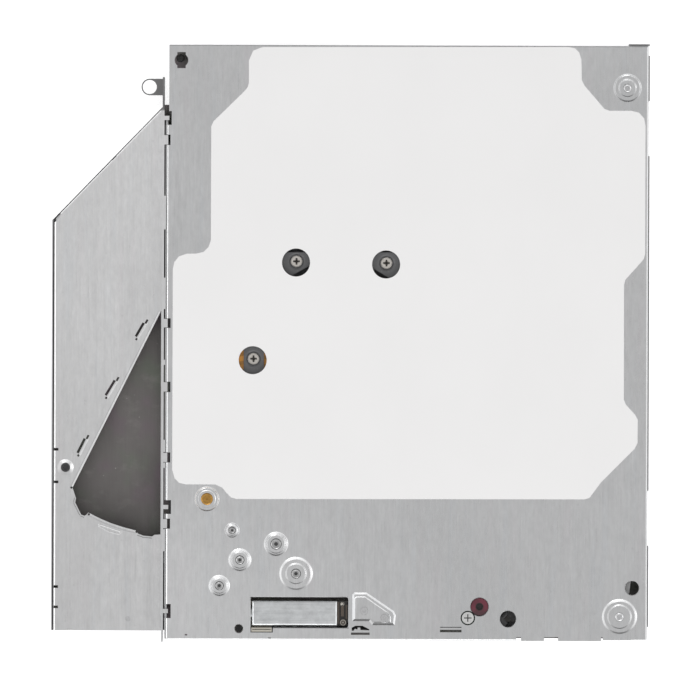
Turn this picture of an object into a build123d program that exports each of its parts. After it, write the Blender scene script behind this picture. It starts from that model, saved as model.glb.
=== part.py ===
from build123d import *
import math
import os

os.makedirs("parts", exist_ok=True)

# ---------------------------------------------------------------- driving dimensions (mm)
HALF_W = 63.9          # half the overall width over the outer cover's walls
FRONT_Y = -63.6        # front edge, where the disc slot is
REAR_Y = 63.7          # rear edge, where the host connector is
SHEET = 0.5            # pressed sheet thickness of covers and frame
H_TOTAL = 12.7         # height over the label
PLATE_TOP = 12.6       # outer face of the base plate
PLATE_IN = PLATE_TOP - SHEET
WING_TOP = 7.0         # outer face of the thin wing
WING_IN = WING_TOP - SHEET
LABEL_T = 0.1
FLOOR = SHEET          # inner face of the outer cover
DISC_CX, DISC_CY = 0.0, -0.43   # centre of the disc and of the spindle
LEVER_Z0, LEVER_Z1 = 5.7, 6.3   # the disc levers' layer
LEVER_T = LEVER_Z1 - LEVER_Z0
FIT = 0.05             # radial running clearance

# gear posts, from the base plate's dimples
POST_A = (-15.67, -43.00)
POST_B = (-23.40, -46.44)
POST_C = (-27.78, -51.95)
POST_D = (-11.40, -49.33)
POST_E = (-25.06, -40.10)
POST_F = (-30.47, -33.43)
PIVOT_TR = (59.14, 54.68)
PIVOT_BR = (57.77, -58.32)
SKEW = [(-11.49, 17.42), (7.74, 17.10), (-20.61, -3.42)]
LABEL_HOLES = [(-11.59, 17.16), (7.66, 16.80), (-20.78, -3.74)]

# traverse: its own axis runs from the spindle at 45 degrees to the front right corner
TRAV_ANGLE = -45.0
TILT_X = 64.0          # along that axis, from the spindle to the tilt pins
PIN_GLOBAL = (-36.5, 3.0)
SLIDE_TRAVEL = 9.0
LIFT = 2.9             # spindle's rise towards the disc
TILT = LIFT / TILT_X

# loading motor
CAN_X0, CAN_X1 = -20.72, -2.63
CAN_Y0, CAN_Y1 = -60.60, -54.98
CAN_Z0, CAN_Z1 = 6.4, 12.25
WORM_Y, WORM_Z = (CAN_Y0 + CAN_Y1) / 2, 9.2


# ---------------------------------------------------------------- helpers
def keep(name, shape):
    if isinstance(shape, (list, tuple, ShapeList)):
        shape = Compound(children=[s for s in shape])
    export_step(shape, f"parts/{name}.step")


def box(x0, x1, y0, y1, z0, z1):
    return Pos((x0 + x1) / 2, (y0 + y1) / 2, (z0 + z1) / 2) * Box(x1 - x0, y1 - y0, z1 - z0)


def cyl(x, y, r, z0, z1):
    return Pos(x, y, (z0 + z1) / 2) * Cylinder(r, z1 - z0)


def cyl_x(y, z, r, x0, x1):
    return Pos((x0 + x1) / 2, y, z) * Rot(0, 90, 0) * Cylinder(r, x1 - x0)


def cyl_y(x, z, r, y0, y1):
    return Pos(x, (y0 + y1) / 2, z) * Rot(90, 0, 0) * Cylinder(r, y1 - y0)


def prism(points, z0, z1):
    return Pos(0, 0, z0) * extrude(make_face(Polyline(*points, close=True)), z1 - z0)


def bar(p, q, w, z0, z1):
    """A straight strip with round ends."""
    a = math.atan2(q[1] - p[1], q[0] - p[0])
    length = math.hypot(q[0] - p[0], q[1] - p[1])
    mid = ((p[0] + q[0]) / 2, (p[1] + q[1]) / 2)
    s = Pos(mid[0], mid[1], (z0 + z1) / 2) * Rot(0, 0, math.degrees(a)) * Box(length, w, z1 - z0)
    return s + cyl(p[0], p[1], w / 2, z0, z1) + cyl(q[0], q[1], w / 2, z0, z1)


def ring_solid(x, y, profile):
    """A turned shape from (radius, height) points."""
    pts = [(r, 0, z) for r, z in profile]
    face = make_face(Polyline(*pts, close=True))
    return Pos(x, y, 0) * revolve(face, Axis.Z, 360)


def strip(p, q, prof, ext=0.04):
    """A straight moulding from p to q; prof holds (offset to the left, height) points."""
    length = math.hypot(q[0] - p[0], q[1] - p[1])
    c, sn = (q[0] - p[0]) / length, (q[1] - p[1]) / length
    pl = Plane(origin=(p[0] - c * ext, p[1] - sn * ext, 0), x_dir=(-sn, c, 0), z_dir=(c, sn, 0))
    return pl * extrude(make_face(Polyline(*prof, close=True)), length + 2 * ext)


def basin(outer, inner, z_out, z_in):
    """A body with sloping sides between two outlines of equal point count."""
    a = Pos(0, 0, z_out) * make_face(Polyline(*outer, close=True))
    b = Pos(0, 0, z_in) * make_face(Polyline(*inner, close=True))
    return loft([a, b], ruled=True)


def inset(pts, d):
    """The outline moved inwards by d (points in order, either way round)."""
    area = sum(pts[i][0] * pts[(i + 1) % len(pts)][1] - pts[(i + 1) % len(pts)][0] * pts[i][1] for i in range(len(pts)))
    sg = 1 if area > 0 else -1
    out = []
    for i in range(len(pts)):
        p0, p1, p2 = pts[i - 1], pts[i], pts[(i + 1) % len(pts)]
        l1 = math.hypot(p1[0] - p0[0], p1[1] - p0[1])
        l2 = math.hypot(p2[0] - p1[0], p2[1] - p1[1])
        n1 = (-(p1[1] - p0[1]) / l1 * sg, (p1[0] - p0[0]) / l1 * sg)
        n2 = (-(p2[1] - p1[1]) / l2 * sg, (p2[0] - p1[0]) / l2 * sg)
        k = 1 + n1[0] * n2[0] + n1[1] * n2[1]
        out.append((p1[0] + d * (n1[0] + n2[0]) / k, p1[1] + d * (n1[1] + n2[1]) / k))
    return out


def edge_break(x, y, r, t, d=0.12):
    return ring_solid(x, y, [(0, t + 0.05), (r + d + 0.05, t + 0.05), (r, t - d), (0, t - d)])


def inv(a):
    return math.tan(a) - a


def gear_points(m, z, add, ded, slack, phase, steps=5):
    r = m * z / 2
    alpha = math.radians(20)
    rb = r * math.cos(alpha)
    ro, ri = r + add, r - ded
    half = math.pi / (2 * z) - slack / (2 * r)
    pts = []
    pitch = 2 * math.pi / z
    radii = [max(rb, ri) + (ro - max(rb, ri)) * i / (steps - 1) for i in range(steps)]

    def half_at(rho):
        if rho <= rb:
            return half + inv(alpha)
        return half + inv(alpha) - inv(math.acos(rb / rho))

    for k in range(z):
        c = phase + k * pitch
        if ri < rb:
            pts.append((ri, c - half_at(rb) * 1.0))
        for rho in radii:
            pts.append((rho, c - half_at(rho)))
        for rho in reversed(radii):
            pts.append((rho, c + half_at(rho)))
        if ri < rb:
            pts.append((ri, c + half_at(rb) * 1.0))
    return [(rho * math.cos(a), rho * math.sin(a)) for rho, a in pts]


def gear(m, z, z0, z1, at, phase, add=None, ded=None, slack=0.10):
    add = 0.85 * m if add is None else add
    ded = 1.25 * m if ded is None else ded
    pts = gear_points(m, z, add, ded, slack, phase)
    return Pos(at[0], at[1], 0) * prism(pts, z0, z1)


def mate_phase(at1, at2, z1, phase1, z2):
    """The phase of gear 2 that puts one of its gaps on gear 1's tooth."""
    theta = math.atan2(at2[1] - at1[1], at2[0] - at1[0])
    u1 = (theta - phase1) * z1 / (2 * math.pi)
    u2 = 0.5 - u1
    return theta + math.pi - u2 * 2 * math.pi / z2


def dist(a, b):
    return math.hypot(a[0] - b[0], a[1] - b[1])


# ================================================================ outer cover (disc side)
def outer_cover():
    t = SHEET
    outline = [(-63.9, -61.7), (-63.9, 26.2), (-39.9, 51.0), (-38.8, 51.0), (-38.8, REAR_Y),
               (HALF_W, REAR_Y), (HALF_W, FRONT_Y + 0.4), (-39.4, FRONT_Y + 0.4), (-39.4, -61.7)]
    s = prism(outline, 0, t)
    # wing's side wall and diagonal wall
    s += box(-63.9, -63.4, -61.7, 26.2, t - 0.01, 5.4) + box(-63.9, -63.65, -61.7, 26.2, 5.3, 6.3)
    dx, dy = 24.0, 24.8
    n = math.hypot(dx, dy)
    ux, uy, vx, vy = dx / n, dy / n, dy / n, -dx / n
    q0, q1 = (-63.9 + ux * 0.8, 26.2 + uy * 0.8), (-40.9, 26.2 + 23.0 * dy / dx)
    s += prism([(q0[0] + vx * 0.4, q0[1] + vy * 0.4), (q1[0] + vx * 0.4, q1[1] + vy * 0.4), (q1[0] + vx * 0.9, q1[1] + vy * 0.9), (q0[0] + vx * 0.9, q0[1] + vy * 0.9)], t - 0.01, 5.45)
    s += prism([(-63.9, 25.0), (-63.9, 26.2), (q0[0] + vx * 0.4, q0[1] + vy * 0.4), (q0[0] + vx * 0.9, q0[1] + vy * 0.9), (-63.4, 25.0)], t - 0.01, 5.4)
    # right wall, in lengths with gaps between them
    for y0, y1 in ((-60.5, -43.2), (-31.4, 40.2), (51.9, 61.6)):
        s += box(HALF_W - t, HALF_W, y0, y1, t - 0.01, 11.7)
    # low rear lip
    s += box(-37.0, 61.0, 62.6, 63.1, t - 0.01, 3.6)
    # small fold standing at the rear right corner
    s += box(59.4, HALF_W, REAR_Y - 0.1, REAR_Y + 0.35, 0, t)
    s += box(59.4, HALF_W, REAR_Y + 0.03, REAR_Y + 0.35, t - 0.01, 12.3)
    # shallow stamped figures on the outer face
    s -= ring_solid(DISC_CX, DISC_CY, [(15.0, -0.1), (15.0, 0.15), (19.0, 0.15), (19.0, -0.1)])
    s -= ring_solid(DISC_CX, DISC_CY, [(44.0, -0.1), (44.0, 0.15), (46.5, 0.15), (46.5, -0.1)])
    for x0, x1 in ((-52, -30), (30, 52)):
        s -= box(x0, x1, -58.6, -56.6, -0.1, 0.15)
    # side screw holes
    for y in (-18.0, 22.0):
        s -= cyl_x(y, 6.2, 0.8, HALF_W - 2, HALF_W + 1)
    for x, y in COVER_SCREWS:
        s -= cyl(x, y, 0.85, -0.1, t + 0.1)
        s -= ring_solid(x, y, [(0.0, -0.1), (0.0, 0.2), (1.7, 0.2), (1.7, -0.1)])
    return s


COVER_SCREWS = [(-61.4, -56.5), (61.0, 61.2), (-36.6, 61.0), (61.6, -55.6)]


# ================================================================ base plate (label side)
def dimple(s, x, y, r_out, r_boss, r_core, ring, d1, d2):
    """Two soft steps going down to the post's head, each edge drawn out by the press tool."""
    t = PLATE_TOP
    s -= cyl(x, y, r_out, t - 1.4, t + 0.1)
    top = []
    for i in range(7):
        u = i / 6
        v = u ** 1.5
        top.append((r_out - ring * u, t - d1 * v * v * (3 - 2 * v)))
    for i in range(5):
        u = i / 4
        top.append((r_boss + 0.15 - 0.3 * u, t - d1 - d2 * u * u * (3 - 2 * u)))
    top.append((r_core, t - d1 - d2))
    prof = top + [(r, z - SHEET) for r, z in reversed(top)]
    return s + ring_solid(x, y, prof)


DIMPLES = {"TR": (PIVOT_TR, 3.14, 1.82, 0.95, 0.5, 0.30, 0.19), "BR": (PIVOT_BR, 4.00, 2.48, 1.00, 0.75, 0.30, 0.19),
           "A": (POST_A, 2.78, 1.95, 1.20, 0.60, 0.30, 0.19), "B": (POST_B, 2.67, 1.75, 0.98, 0.70, 0.30, 0.19),
           "C": (POST_C, 2.46, 1.60, 0.96, 0.65, 0.30, 0.19), "D": (POST_D, 3.85, 2.14, 1.07, 0.80, 0.30, 0.19),
           "E": (POST_E, 1.70, 1.10, 0.77, 0.4, 0.25, 0.14), "F": (POST_F, 2.74, 1.85, 1.30, 0.4, 0.25, 0.08)}


def seat(name):
    """Height of the dimple's floor round the post."""
    return PLATE_TOP - DIMPLES[name][5] - DIMPLES[name][6]


def base_plate():
    t = PLATE_TOP
    s = box(LEFT_X, 63.35, FRONT_Y + 0.05, REAR_Y, 5.8, t) + box(60.0, RIGHT_X, FRONT_Y + 0.05, REAR_Y, 11.85, t)
    rim = s.edges().filter_by_position(Axis.Z, t - 0.01, t + 0.01)
    s = fillet([e for e in rim if e.center().X < LEFT_X + 0.1], 0.55)
    rim = s.edges().filter_by_position(Axis.Z, t - 0.01, t + 0.01)
    s = fillet([e for e in rim if e.center().X > LEFT_X + 1.0], 0.42)
    s += box(LEFT_X - 0.15, LEFT_X + 0.1, FRONT_Y + 0.3, 48.0, 6.0, 12.08)
    s -= box(-41, -38.8, 48.0, 65, 5.0, t + 1)
    inner = [(-39.05, -63.05), (-39.05, 47.6), (-38.3, 48.6), (-38.3, REAR_Y - 0.5), (62.85, REAR_Y - 0.5),
             (62.85, FRONT_Y + 0.55), (-39.05, FRONT_Y + 0.55)]
    s -= prism(inner, 5.0, PLATE_IN)
    # front wall is cut away beside the flat tabs; side walls are relieved
    s -= box(35.7, 60.2, FRONT_Y - 1, FRONT_Y + 0.9, 5.0, t + 1)
    s -= box(60.2, 64, FRONT_Y - 1, -62.0, 5.0, 11.2)
    s += box(36.74, 41.66, FRONT_Y + 0.05, -62.6, PLATE_IN, t)
    s += box(44.65, 53.85, FRONT_Y + 0.05, -62.6, PLATE_IN, t)
    s += box(35.7, 44.0, -62.75, -62.6, PLATE_IN, t)
    s += box(54.2, 60.2, -63.35, -62.6, PLATE_IN, t - 0.1)
    # left wall starts below the corner
    s -= box(-40, -38.0, 48.0, 63.0, 5.0, PLATE_IN)
    s -= box(-40, -38.0, -64, 46.5, 5.0, 7.2)
    # clear the slider's run along the left wall
    s -= box(-39.6, -38.9, -46.0, 20.0, 5.0, PLATE_IN - 0.6)
    # rear opening for the host connector and vent
    s -= box(-34.2, -1.8, 62.0, 64.5, 5.0, 11.4)
    s -= box(8.0, 40.0, 62.0, 64.5, 5.0, 7.4)
    # right wall notches
    s -= box(62.0, 64.5, 40.4, 51.6, 5.0, 9.0)
    s -= box(62.0, 64.5, -43.0, -31.6, 5.0, 9.0)
    for y in (-18.0, 22.0):
        s -= cyl_x(y, 6.2, 1.6, 62, 64.5)
    # motor window with rounded corners
    s -= box(-21.07, -0.19, -60.83, -54.34, PLATE_IN - 1, t + 1)
    w0 = [(-21.07, -60.83), (-0.19, -60.83), (-0.19, -54.34), (-21.07, -54.34)]
    s -= basin(w0, inset(w0, -0.2), t - 0.15, t + 0.05)
    for x, y in ((-0.19, -54.34), (-0.19, -60.83)):
        s += box(x - 0.45, x + 0.1, y - 0.45, y + 0.45, PLATE_IN, t - 0.15) & (box(x - 0.45, x + 0.1, y - 0.45, y + 0.45, 11, 13) - cyl(x - 0.45, y - 0.45 if y > -57 else y + 0.45, 0.45, 11, 13)) & box(-21, -0.1, -60.83, -54.34, 11, 13)
    # clip slots by the front edge
    s -= box(-21.07, -16.30, -61.92, -60.80, PLATE_IN - 1, t + 1)
    s -= box(19.42, 24.02, -61.75, -60.60, PLATE_IN - 1, t + 1)
    s += box(19.3, 24.1, -61.22, -60.76, PLATE_IN, PLATE_IN + 0.28)
    s -= box(-17.3, -16.7, -63.25, -62.95, PLATE_IN - 1, t + 1)
    s -= box(0.41, 4.39, -62.36, -61.86, PLATE_IN - 1, t + 1)
    arch = [(0.55, -61.50), (0.55, -60.85), (1.35, -60.42), (2.85, -60.42), (3.70, -60.85), (4.30, -61.15), (4.30, -61.50)]
    s -= prism(arch, PLATE_IN - 1, t + 1)
    s += prism([(0.9, -61.6), (1.25, -61.05), (1.75, -61.25), (1.85, -60.8), (2.35, -60.8), (2.45, -61.3), (4.5, -61.4), (4.5, -61.6)], PLATE_IN, t - 0.12)
    s -= box(-35.1, -34.6, -62.6, -62.3, PLATE_IN - 1, t + 1)
    # embossed four-sided pocket beside the window
    q = [(0.66, -59.42), (0.66, -53.75), (1.10, -53.30), (3.70, -53.30), (9.55, -57.25), (10.0, -58.2), (9.72, -60.28), (4.95, -60.28), (4.25, -59.42)]
    s += prism(inset(q, -0.3), PLATE_IN - 0.35, PLATE_IN + 0.1)
    s -= basin(q, inset(q, 0.42), t, t - 0.28)
    s -= basin(inset(q, -0.04), q, t + 0.03, t)
    q1 = [(1.08, -59.2), (1.08, -54.45), (1.6, -54.15), (3.40, -54.15), (8.35, -57.55), (8.9, -58.4), (8.9, -59.75), (5.3, -59.75), (4.5, -59.2)]
    s -= basin(q1, inset(q1, 0.2), t - 0.275, t - 0.40)
    for x, y in ((3.22, -57.23), (7.56, -58.72)):
        s -= cyl(x, y, 0.82, 10, 14)
    # holes for screw access, pins and gauges
    for x, y in LABEL_HOLES:
        s -= cyl(x, y, 3.0, 10, 14)
    for x, y, r in ((60.42, -52.16, 1.5), (33.93, -58.85, 1.73), (27.85, -56.28, 1.95), (-23.59, -61.08, 0.9)):
        s -= edge_break(x, y, r, t)
    s -= cyl(-36.2, 60.33, 1.45, 10, 14) & box(-40, -30, 58.5, 62.15, 10, 14)
    s -= box(-37.1, -35.3, 58.62, 62.05, 10, 14)
    s -= cyl(-23.59, -61.08, 0.9, 10, 14)
    s -= cyl(60.42, -52.16, 1.5, 10, 14)
    s -= cyl(33.93, -58.85, 1.73, 10, 14)
    s -= cyl(27.85, -56.28, 1.95, 10, 14)
    s -= cyl(25.36, -58.68, 1.55, 10, 14)
    # tab slots along the left edge
    for y0, y1, x0, x1 in LEFT_SLOTS:
        s -= box(x0, x1, y0, y1, 10, 14)
    # stamped dimples round the posts
    for (x, y), r_out, r_boss, r_core, ring, d1, d2 in DIMPLES.values():
        s = dimple(s, x, y, r_out, r_boss, r_core, ring, d1, d2)
    # screw holes of the circuit board and rivet holes of the pivot blocks
    for x, y in BOARD_POSTS:
        s += cyl(x, y, 1.5, 11.7, PLATE_IN + 0.05)
        s -= cyl(x, y, 0.55, 11.0, PLATE_IN)
    return s


LEFT_X, RIGHT_X = -39.35, 63.62     # faces of the base plate's left and right folds
LEFT_SLOTS = [(46.5, 49.45, -39.6, -38.25), (42.2, 44.4, -39.6, -38.5), (3.1, 5.15, -39.6, -38.35),
              (-10.6, -8.4, -39.6, -38.35), (-25.65, -23.5, -39.6, -38.35), (-36.65, -33.7, -39.6, -38.15),
              (-39.8, -37.65, -39.6, -38.35), (-58.9, -55.9, -39.6, -38.15)]
WALL_FILLS = [(24.15, 31.35), (7.13, 13.84), (-4.8, -3.7), (-23.4, -20.8), (-26.8, -25.7), (-44.6, -39.9)]
BOARD_POSTS = [(-33.5, 44.0), (8.0, 56.5), (-14.0, 42.0)]


# ================================================================ wing frame
def wing_frame():
    z0, z1 = WING_IN, WING_TOP
    gap = 0.25
    x_l = -63.35
    dx, dy = 24.0, 24.8
    n = math.hypot(dx, dy)
    # diagonal lip runs inside the cover's wall
    off = 0.34
    ox, oy = dy / n * off, -dx / n * off
    p_a = (x_l, 26.2 + oy + (x_l - (-63.9 + ox)) * dy / dx)
    p_b = (-40.2, p_a[1] + (-40.2 - x_l) * dy / dx)
    outline = [(x_l, -61.7), p_a, p_b, (-39.8, p_b[1]), (-39.8, -61.7)]
    s = prism(outline, z0, z1)
    # folded lips: left and diagonal
    lip = prism([(x_l, -61.2), p_a, p_b, (p_b[0] + 0.35, p_b[1] - 0.35), (p_a[0] + 0.5, p_a[1] - 0.22), (x_l + 0.5, -61.2)], 5.6, z1)
    s += lip
    s += box(-62.4, -40.6, -61.7, -61.3, 6.1, z1)
    edges = s.edges().filter_by_position(Axis.Z, z1 - 0.01, z1 + 0.01)
    outer = [e for e in edges if e.length > 10 and (e.center().X < -62.9 or (e.center().Y > 26 and e.center().X < -41))]
    s = fillet(outer, 0.45)
    # centre wall up to the base plate's level
    s += box(-40.2, -39.8, -64.0, 56.7, z0, 12.45)
    s -= box(-40.5, -39.5, -64.5, -61.75, 3.0, 8.6)
    # mounting ear
    ear = bar((-43.04, 54.67), (-39.99, 54.67), 3.55, z0, z1)
    ear = ear & box(-46, -39.8, 52.6, 56.7, z0 - 1, z1 + 1)
    ear -= cyl(-43.04, 54.67, 1.5, z0 - 1, z1 + 1)
    s += ear
    # triangular opening with its folded hypotenuse
    arc = [(-55.89, -36.48), (-53.34, -37.76), (-50.94, -38.77), (-48.55, -39.54), (-45.75, -40.28)]
    tri = [(-40.45, 6.79), (-59.31, -31.13), (-58.55, -33.41), (-58.72, -34.35), (-57.43, -36.91), (-56.74, -37.17), (-56.31, -36.91)] + arc + \
          [(-45.23, -40.96), (-44.12, -41.38), (-42.26, -41.55), (-41.75, -41.20), (-40.45, -41.11)]
    s -= prism(tri, z0 - 1, z1 + 1)
    # rolled hypotenuse, falling towards the opening, with a crease behind it
    h0, h1 = (-59.25, -31.0), (-40.6, 6.5)
    s += strip(h0, h1, [(0.0, 5.7), (0.0, 6.7), (0.55, 6.7), (0.55, 5.7)], ext=0)
    s -= strip(h0, h1, [(-0.1, 7.3), (-0.1, 6.83), (0.34, 7.0), (0.34, 6.62), (0.52, 6.62), (0.52, 7.3)], ext=0)
    # turned-up lip along the arc with a crease in front of it
    for i in range(len(arc) - 1):
        s += strip(arc[i], arc[i + 1], [(0.0, z0), (0.0, z1 + 0.05), (-0.40, z1 - 0.01), (-0.40, z0)])
    for i in range(len(arc) - 1):
        s -= strip(arc[i], arc[i + 1], [(-0.40, z1 + 0.3), (-0.40, z1 - 0.4), (-0.63, z1 - 0.4), (-0.63, z1 + 0.3)])
    # set-down steps at both ends of the arc
    for p, q in (((-58.55, -33.41), (-58.72, -34.35)), ((-58.72, -34.35), (-57.43, -36.91)), ((-57.43, -36.91), (-56.74, -37.17)),
                 ((-45.23, -40.96), (-44.12, -41.38)), ((-44.12, -41.38), (-42.26, -41.55))):
        s -= strip(p, q, [(-0.28, z1 + 0.1), (-0.28, z1 - 0.16), (-0.46, z1 + 0.02), (-0.46, z1 + 0.1)])
    for x, y in ((-59.56, -31.13), (-55.80, -36.85), (-45.58, -40.55)):
        s -= cyl(x, y, 0.24, z0 - 1, z1 + 1)
    # raised figure in front of the arc
    fig = [(-53.62, -38.75), (-53.70, -39.50), (-51.70, -40.62), (-49.25, -41.25), (-48.55, -40.45)]
    s += basin(inset(fig, -0.12), inset(fig, 0.16), z1 - 0.02, z1 + 0.05)
    s -= basin(inset(fig, 0.24), inset(fig, 0.34), z1 + 0.06, z1 + 0.01)
    # three lanced guides parallel to the hypotenuse: slit, bulged strip, pierced ends
    for p, q in LANCES:
        d = dist(p, q)
        u = ((q[0] - p[0]) / d, (q[1] - p[1]) / d)
        mx, my = (p[0] + q[0]) / 2, (p[1] + q[1]) / 2
        ang = math.degrees(math.atan2(u[1], u[0]))
        s -= Pos(mx, my, z1) * Rot(0, 0, ang) * Box(d, 0.54, 2.0)
        s += strip(p, q, [(-0.27, z1 - 0.4), (-0.27, z1 + 0.12), (-0.50, z1 + 0.12), (-0.86, z1 - 0.01), (-0.86, z1 - 0.4)], ext=0.25)
        for k, e in ((-1, 0.42), (1, 0.55)):
            cx, cy = mx + u[0] * k * (d / 2 + e) + u[1] * 0.38, my + u[1] * k * (d / 2 + e) - u[0] * 0.38
            s -= Pos(cx, cy, z1) * Rot(0, 0, ang) * Box(0.45 if k < 0 else 0.95, 0.42, 1.1)
    # notches in the lips
    for y in (-22.94, -29.92, -52.34, -56.68):
        s -= box(-63.3, -62.35, y - 0.28, y + 0.28, 4.0, z1 + 1)
    for x, y in ((-43.0, 48.4), (-50.8, 39.65)):
        s -= Pos(x, y, 7) * Rot(0, 0, 46) * Box(1.3, 0.7, 8)
    s -= Pos(-62.85, 26.75, 7) * Rot(0, 0, 52) * Box(2.2, 0.8, 8)
    s -= box(-60.5, -59.3, -62.0, -61.45, 5.5, z1 + 1)
    # rivet seats
    s -= ring_solid(-60.83, -26.82, [(0.0, z1 + 0.1), (1.95, z1 + 0.1), (1.75, z1), (1.0, z1 - 0.26), (0.0, z1 - 0.26)])
    s -= cyl(-60.83, -26.82, 0.75, z0 - 1, z1 + 1)
    s -= cyl(-47.38, -59.21, 0.55, z0 - 1, z1 + 1)
    # short teeth on the wall's top edge, one at each of the base plate's slots
    for y0, y1, x0, x1 in LEFT_SLOTS:
        if y1 - y0 > 2.5:
            ym = (y0 + y1) / 2
            s += box(-40.2, -38.75, ym - 0.45, ym + 0.45, 12.15, 12.5)
        else:
            s += box(-40.2, -38.98, y0 + 0.1, y1 - 0.1, 12.15, 12.45)
    for y0, y1 in WALL_FILLS:
        s += box(-40.2, LEFT_X - 0.12, y0, y1, 12.12, 12.4)
    return s


LANCES = [((-45.86, 1.24), (-44.18, 4.17)), ((-52.27, -11.36), (-50.34, -8.15)), ((-58.24, -23.71), (-56.71, -20.63))]


# ================================================================ label
def label():
    pts = [(-18.86, 63.19), (-20.9, 62.4), (-21.8, 60.27), (-21.78, 55.49), (-22.1, 54.5), (-22.97, 53.5), (-29.3, 47.3), (-29.8, 46.2),
           (-29.8, 21.9), (-30.3, 20.4), (-31.4, 19.35), (-32.97, 19.0), (-34.89, 18.99), (-36.6, 18.4), (-37.6, 17.2), (-37.92, 15.6),
           (-37.92, -27.2), (-37.4, -29.0), (-36.4, -30.0), (-34.95, -30.32), (-28.69, -30.31), (-27.2, -31.0), (-26.2, -32.2), (-25.3, -33.1), (-24.1, -33.4),
           (50.3, -33.25), (51.3, -32.9), (53.73, -29.6), (60.9, -22.4), (61.5, -21.2), (61.54, -16.2), (61.0, -15.2), (59.0, -13.0), (58.55, -11.9),
           (58.5, 12.6), (58.8, 13.7), (62.7, 18.1), (63.0, 19.2), (63.0, 46.6), (62.7, 48.2), (61.6, 49.4), (59.97, 49.8), (55.3, 49.8), (54.2, 50.2), (49.9, 55.2), (49.35, 56.4),
           (49.25, 60.6), (48.8, 62.2), (47.9, 63.1), (46.59, 63.4)]
    s = prism(pts, PLATE_TOP, PLATE_TOP + LABEL_T)
    for x, y in LABEL_HOLES:
        s -= cyl(x, y, 3.0, 10, 14)
    return s


# ================================================================ slot and front pieces
def front_guide():
    s = box(-62.4, 62.4, -61.4, -59.7, 5.55, 6.05)
    # ends rest on the frame's lip and on the base plate's wall
    s += box(-62.4, -60.9, -61.2, -59.9, 6.0, WING_IN)
    s += box(-43.5, -41.5, -61.2, -59.9, 6.0, WING_IN)
    s += box(10.5, 13.5, -61.4, -60.9, 6.0, PLATE_IN)
    s += box(-37.5, -34.5, -61.4, -60.9, 6.0, PLATE_IN)
    s += box(45.0, 48.0, -61.4, -60.9, 6.0, PLATE_IN)
    s -= cyl(PIVOT_BR[0], PIVOT_BR[1], 2.75, 5, 7)
    return s


# ================================================================ build the fixed pieces
keep("top_cover", outer_cover())
keep("base_plate", base_plate())
keep("wing_frame", wing_frame())
keep("label", label())
keep("slot_guide", front_guide())
keep("slot_felts", [box(-61.5, 61.5, -61.2, -59.9, FLOOR, FLOOR + 0.25), box(-61.5, 61.5, -61.2, -59.9, 5.3, 5.55)])

# cover screws: countersunk heads outside, shanks inside
screws = []
for x, y in COVER_SCREWS:
    scr = cyl(x, y, 1.6, 0.02, 0.2) + cyl(x, y, 0.75, 0.02, 3.6)
    scr -= box(x - 0.7, x + 0.7, y - 0.12, y + 0.12, -0.1, 0.14)
    scr -= box(x - 0.12, x + 0.12, y - 0.7, y + 0.7, -0.1, 0.14)
    screws.append(scr)
keep("cover_screws", screws)

# circuit board at the rear, chips on its disc side, host connector at the edge
board = prism([(-36.5, 40.0), (-36.5, 61.6), (12.0, 61.6), (12.0, 52.0), (-2.0, 40.0)], 10.9, 11.7)
board -= box(-37.0, -34.0, 58.0, 62.0, 10, 12)
for x, y in BOARD_POSTS:
    board -= cyl(x, y, 0.6, 10, 12)
keep("circuit_board", board)
chips = []
for x0, x1, y0, y1, h in ((-31, -20, 45, 56, 1.3), (-16, -9, 46, 53, 1.0), (-4, 1, 50, 56, 0.9), (3, 7, 57, 60, 0.8), (-18.5, -17.2, 55, 57.5, 0.7),
                          (-35.5, -34.0, 47, 50, 0.8), (-8, -6, 43, 45, 0.6), (-12, -10, 42.5, 45, 0.7)):
    chips.append(box(x0, x1, y0, y1, 10.9 - h, 10.9))
keep("board_chips", chips)
bs = []
for x, y in BOARD_POSTS:
    b = cyl(x, y, 0.5, 10.3, 12.0) + cyl(x, y, 1.1, 10.2, 10.9)
    b -= box(x - 0.8, x + 0.8, y - 0.13, y + 0.13, 10.1, 10.5)
    bs.append(b)
keep("board_screws", bs)
conn = box(-33.8, -2.2, 57.6, 63.5, 6.9, 10.9)
conn -= box(-32.6, -22.9, 59.6, 64, 8.0, 10.0)
conn -= box(-21.3, -3.4, 59.6, 64, 8.0, 10.0)
conn += box(-31.6, -23.9, 59.5, 63.1, 8.75, 9.25)
conn += box(-20.3, -4.4, 59.5, 63.1, 8.75, 9.25)
keep("host_connector", conn)
pins = []
for i in range(6):
    x = -30.7 + i * 1.27
    pins.append(box(x - 0.25, x + 0.25, 59.8, 62.9, 8.6, 8.75))
for i in range(12):
    x = -19.3 + i * 1.27
    pins.append(box(x - 0.25, x + 0.25, 59.8, 62.9, 8.6, 8.75))
keep("connector_contacts", pins)

# loading motor, its bracket and its terminal board
can = box(CAN_X0, CAN_X1, CAN_Y0, CAN_Y1, CAN_Z0, CAN_Z1)
can = fillet([e for e in can.edges().filter_by(Axis.X)], 0.7)
for xe, sg in ((CAN_X0, 1), (CAN_X1, -1)):
    can -= Pos(0, (CAN_Y0 + CAN_Y1) / 2, 0) * Rot(90, 0, 0) * Pos(0, 0, -4) * extrude(make_face(Polyline((xe - sg * 0.1, CAN_Z1 + 0.2), (xe - sg * 0.1, CAN_Z1 - 0.2), (xe, CAN_Z1 - 0.15), (xe + sg * 0.28, CAN_Z1), (xe + sg * 0.28, CAN_Z1 + 0.2), close=True)), 8)
can += cyl_x(WORM_Y, WORM_Z, 1.6, CAN_X0 - 0.5, CAN_X0 + 0.1)
can -= cyl_x(WORM_Y, WORM_Z, 0.5 + FIT, CAN_X0 - 1, CAN_X0 + 3.2)
keep("loading_motor", can)
cap = box(CAN_X1, -0.45, -60.4, -55.1, 6.9, 11.3)
cap += box(-2.55, -2.1, -60.1, -55.4, 11.3, 11.5)
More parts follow.
